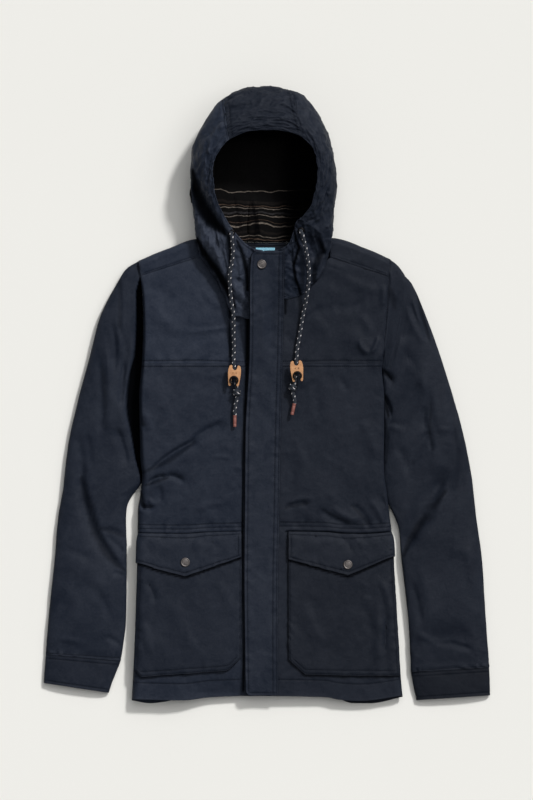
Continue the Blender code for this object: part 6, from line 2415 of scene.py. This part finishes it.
# ----------------------------------------------------------------- the jacket
@dataclass
class Jacket:
    """All cloth pieces of the jacket, made in the order in which they are sewn."""

    made: dict = field(default_factory=dict)

    def lay(self, cloth: Cloth, held: str, *rests_on: str) -> Cloth:
        """Build one piece and keep it by name.

        Args:
            cloth: the piece to build.
            held: how the sheet is held; not used.
            rests_on: what it lies on; not used.

        Returns:
            The same description, now measured.
        """
        thing = cloth.build()
        self.made[cloth.name] = thing
        return cloth

    def body(self) -> list[Cloth]:
        """Back and fronts with their seams.

        Returns:
            The four fronts.
        """
        rows = Stitches("body")
        pieces = []
        back = BackPanel("back_panel", pitch=5.0, flip=True, crumple=Crumple(23, 60.0, 0.5, 0.6),
                         painted_shade=PaintedShade((COLLAR_SHADE,)),
                         seams=(Seam(Axis.V, 26.0), Seam(Axis.V, -2.2, 0.02, 0.235, 0.4),
                                Seam(Axis.V, -8.0, 0.02, 0.235, 0.3),
                                Seam(Axis.V, -2.2, 0.765, 0.98, 0.7),
                                Seam(Axis.V, -8.0, 0.765, 0.98, 0.6)))
        self.lay(back, "folded")
        for side in (Side.RIGHT, Side.LEFT):
            flip = side is Side.RIGHT
            low = FrontPanel("front_%s_lower" % side.word, side=side, flip=flip, seams=(
                Seam(Axis.V, 27.0), Seam(Axis.V, -4.8, 0.0, 1.0, 0.35),
                Seam(Axis.V, 277.4, 0.0, 1.0, 0.45), Seam(Axis.V, 283.6, 0.0, 1.0, 0.35),
                # This deep seam above the pocket flap is painted dark: painted shadow of the waist
                # above it.
                Seam(Axis.V, FLAP_TOP * FRONT_LENGTH, 0.15, 0.97, 0.0, False, 2.6, 1.2, 0.9)))
            high = FrontPanel("front_%s_upper" % side.word, side=side, upper=True, flip=flip,
                              seams=(Seam(Axis.U, -5.0, 0.0, 0.98, 0.3),
                                     Seam(Axis.V, 4.4, 0.0, 1.0, 0.35)))
            for cloth in (low, high):
                cloth.round, cloth.painted_shade = 0.16, BODY_PAINTED_SHADE
                self.lay(cloth, "laid", "back_panel")
                rows.follow(cloth)
                pieces.append(cloth)
        rows.follow(back)
        rows.build()
        return pieces

    def arms(self) -> None:
        """Sleeves and their cuff bands."""
        rows = Stitches("sleeves")
        for side in (Side.RIGHT, Side.LEFT):
            flip = side is Side.RIGHT
            sleeve = Sleeve("sleeve_" + side.word, side=side, closed=True, flip=flip,
                            sections=SLEEVE_SECTIONS[side], folds=SLEEVE_FOLDS[side],
                            gap=SLEEVE_GAP[side], inner_power=0.8 if side is Side.RIGHT else 0.42,
                            crumple=Crumple(31 + side.value, 46.0, 0.6, 0.62), round=0.16,
                            swell=3.6 if side is Side.RIGHT else 2.6,
                            painted_shade=SLEEVE_PAINTED_SHADE[side],
                            seams=(Seam(Axis.V, -3.0, 0.0, 1.0, 0.8, False, 0.1),
                                   Seam(Axis.V, 3.0, 0.0, 1.0, 0.8, False, 0.2)))
            cuff = Sleeve("cuff_" + side.word, side=side, closed=True, flip=flip, round=0.2,
                          sections=CUFF_SECTIONS[side], trim=0.0,
                          crumple=Crumple(41, 30.0, 0.3, 0.5),
                          seams=(Seam(Axis.V, 2.2, 0.0, 1.0, 0.3),
                                 Seam(Axis.V, 7.6, 0.0, 1.0, 0.25),
                                 Seam(Axis.V, -5.0, 0.0, 1.0, 0.2)))
            for cloth in (sleeve, cuff):
                self.lay(cloth, "laid")
                rows.follow(cloth)
        rows.build()

    def hood(self) -> list[Cloth]:
        """Hood sides with the collar, the middle strip and the lining.

        Returns:
            The two sides, which the storm flap covers in part.
        """
        rows = Stitches("hood")
        rim = (Seam(Axis.V, 3.2, 0.0, 1.0, 0.3), Seam(Axis.V, 17.0, 0.0, 1.0, 0.35))
        seam = (Seam(Axis.U, -2.4, 0.0, HOOD_SEAM_END, 0.3),
                Seam(Axis.U, 2.4, 0.0, HOOD_SEAM_END, 0.3))
        crumple = Crumple(53, 18.0, 1.9, 0.85)
        right = HoodPiece("hood_side_right", stop=11.0, crumple=crumple, seams=rim + seam[:1])
        middle = HoodPiece("hood_centre", start=11.0, stop=15.0, crumple=crumple,
                           seams=rim + (Seam(Axis.U, 6.0, 0.0, HOOD_SEAM_END, 0.3),
                                        Seam(Axis.U, -6.0, 0.0, HOOD_SEAM_END, 0.3)))
        left = HoodPiece("hood_side_left", start=15.0, crumple=crumple, seams=rim + seam[1:])
        for cloth in (right, middle, left):
            cloth.slot, cloth.pitch, cloth.painted_shade = "hood_cotton", 2.4, HOOD_PAINTED_SHADE
            # The right side's foot edge is painted dark: painted shade.
            cloth.painted_edges = ((Axis.V, 1, 1.2, 0.8),) if cloth is right else ()
            self.lay(cloth, "draped", "back_panel")
            rows.follow(cloth)
        lining = HoodPiece("hood_lining", slot="striped_lining", wall=1.0, pitch=3.0, start=7.6,
                           stop=19.4, rim=0.02, foot=0.999, inset=4.6,
                           crumple=Crumple(67, 26.0, 0.9, 0.5),
                           # Painted shade on the lining: the shadow of the hood's rim over its top
                           # and its wearer's-left part, and two dark wrinkles.
                           painted_shade=PaintedShade(((1.0, ((62, 420, 40), (62, 240, 42))),
                                            (1.0, ((100, 420, 45), (100, 240, 45))),
                                            (1.0, ((-70, 428, 16), (70, 428, 16))),
                                            (0.9, ((-22, 312, 2), (-20, 285, 6), (-16, 262, 5))),
                                            (0.5, ((-52, 318, 2), (-42, 270, 3))))))
        self.lay(lining, "draped", "cloth_hood_centre")
        rows.build()
        return [right, left]

    def front_opening(self, below: list[Cloth]) -> None:
        """Storm flap laid over the fronts and the collar.

        Args:
            below: pieces that the flap lies on.
        """
        drape = Drape((-60.0, -560.0), (60.0, 330.0), 2.0)
        for cloth in below:
            drape.add(cloth.laid(*grid(420))[0])
        drape.settle(6.0, 44.0)
        flap = StormFlap("placket", slot="wax_cotton_trim", wall=2.2, pitch=2.4, below=drape,
                         # Its edges are painted dark: painted shade, strongest along the wearer's
                         # right edge.
                         painted_edges=((Axis.U, 0, 1.2, 0.92), (Axis.U, 1, 0.9, 0.6),
                               (Axis.V, 0, 0.9, 0.6)),
                         crumple=Crumple(83, 30.0, 0.5, 0.6),
                         seams=(Seam(Axis.U, 5.6, 0.006, 0.992, 0.3),
                                Seam(Axis.U, -3.0, 0.0, 1.0, 0.25),
                                Seam(Axis.U, -9.0, 0.0, 1.0, 0.3), Seam(Axis.V, 5.0, 0.1, 1.0, 0.3),
                                Seam(Axis.V, -5.0, 0.1, 1.0, 0.25)))
        self.lay(flap, "laid", "front_left_lower", "front_right_lower")
        rows = Stitches("placket")
        rows.follow(flap)
        rows.build()

    def pockets(self) -> None:
        """Patch pockets and their pointed flaps."""
        rows = Stitches("pockets")
        cuts = {
            Side.RIGHT: (-41.0, rows_of((-214, -446), (-204, -458), (-147, -454.0),
                                        (-66, -447.5), (-60, -444.5), (-40, -424)),
                         rows_of((-215, -270), (-173, -285), (-137, -294), (-133, -295),
                                 (-129, -294), (-38, -262))),
            Side.LEFT: (34.0, rows_of((34, -428), (46, -440), (61, -454), (135, -456),
                                      (213, -456)),
                        rows_of((31, -266), (127, -292.5), (131, -293.6), (135, -292.5),
                                (206, -261))),
        }
        for side, (inner, pocket, flap) in cuts.items():
            flip = side is Side.RIGHT
            # Painted shade: dark lower and inner edges on pocket and flap, and the flap's shadow on
            # the pocket just below the flap.
            edges = ((Axis.V, 0, 1.3, 0.9), (Axis.U, 0, 0.8 if flip else 1.3, 0.5 if flip else 0.9))
            under = PaintedShade(((0.9, tuple((x, y - 1.6, 2.2) for x, y in flap)),))
            bag = Patch("pocket_" + side.word, side=side, inner=inner, lower=pocket, flip=flip,
                        painted_edges=edges, painted_shade=under,
                        seams=(Seam(Axis.U, 2.6, 0.0, 1.0, 0.35),
                               Seam(Axis.V, 2.6, 0.0, 1.0, 0.35),
                               Seam(Axis.U, -6.0, 0.0, 1.0, 0.35),
                               Seam(Axis.V, 9.0, 0.03, 0.97, 0.2)))
            top = Patch("pocket_flap_" + side.word, slot="wax_cotton_trim", side=side, wall=1.8,
                        inner=inner - (0.5 if side is Side.RIGHT else 0.0), lower=flap, flap=True,
                        pitch=2.4, flip=flip, painted_edges=edges + ((Axis.V, 1, 1.0, 0.8),),
                        seams=(Seam(Axis.V, 5.6, 0.0, 1.0, 0.3),
                               Seam(Axis.V, -6.5, 0.0, 1.0, 0.25),
                               Seam(Axis.U, 5.0, 0.1, 0.88, 0.2)))
            self.lay(bag, "laid", "front_%s_lower" % side.word)
            self.lay(top, "laid", "pocket_" + side.word)
            rows.follow(bag)
            rows.follow(top)
        rows.build()

    def neck(self) -> None:
        """Facing and label inside the back neck."""
        self.lay(NeckFacing("neck_facing", slot="wax_cotton_trim", wall=1.2,
                            seams=(Seam(Axis.V, 3.0), Seam(Axis.V, -3.0))), "laid", "back_panel")
        self.lay(NeckFacing("label", slot="blue_tape", wall=1.0, pitch=1.2, label=True, top=4.4,
                            box=(-18.0, 13.0, 220.0)), "laid", "neck_facing")


def main() -> None:
    """Build the stage, the cords and the jacket, and log each piece."""
    logging.basicConfig(level=logging.INFO, format="%(name)s %(message)s")
    Studio().build()
    for cord in DRAWCORDS.values():
        cord.build()
    jacket = Jacket()
    fronts = jacket.body()
    jacket.arms()
    collar = jacket.hood()
    jacket.neck()
    jacket.front_opening(fronts + collar)
    jacket.pockets()
    Studs().build({"snap_placket": jacket.made["placket"],
                   "snap_flap_right": jacket.made["pocket_flap_right"],
                   "snap_flap_left": jacket.made["pocket_flap_left"]})
    total = sum(len(o.data.polygons) for o in bpy.data.objects if o.type == "MESH")
    LOG.info("faces in all: %d", total)


if __name__ == "__main__":
    main()
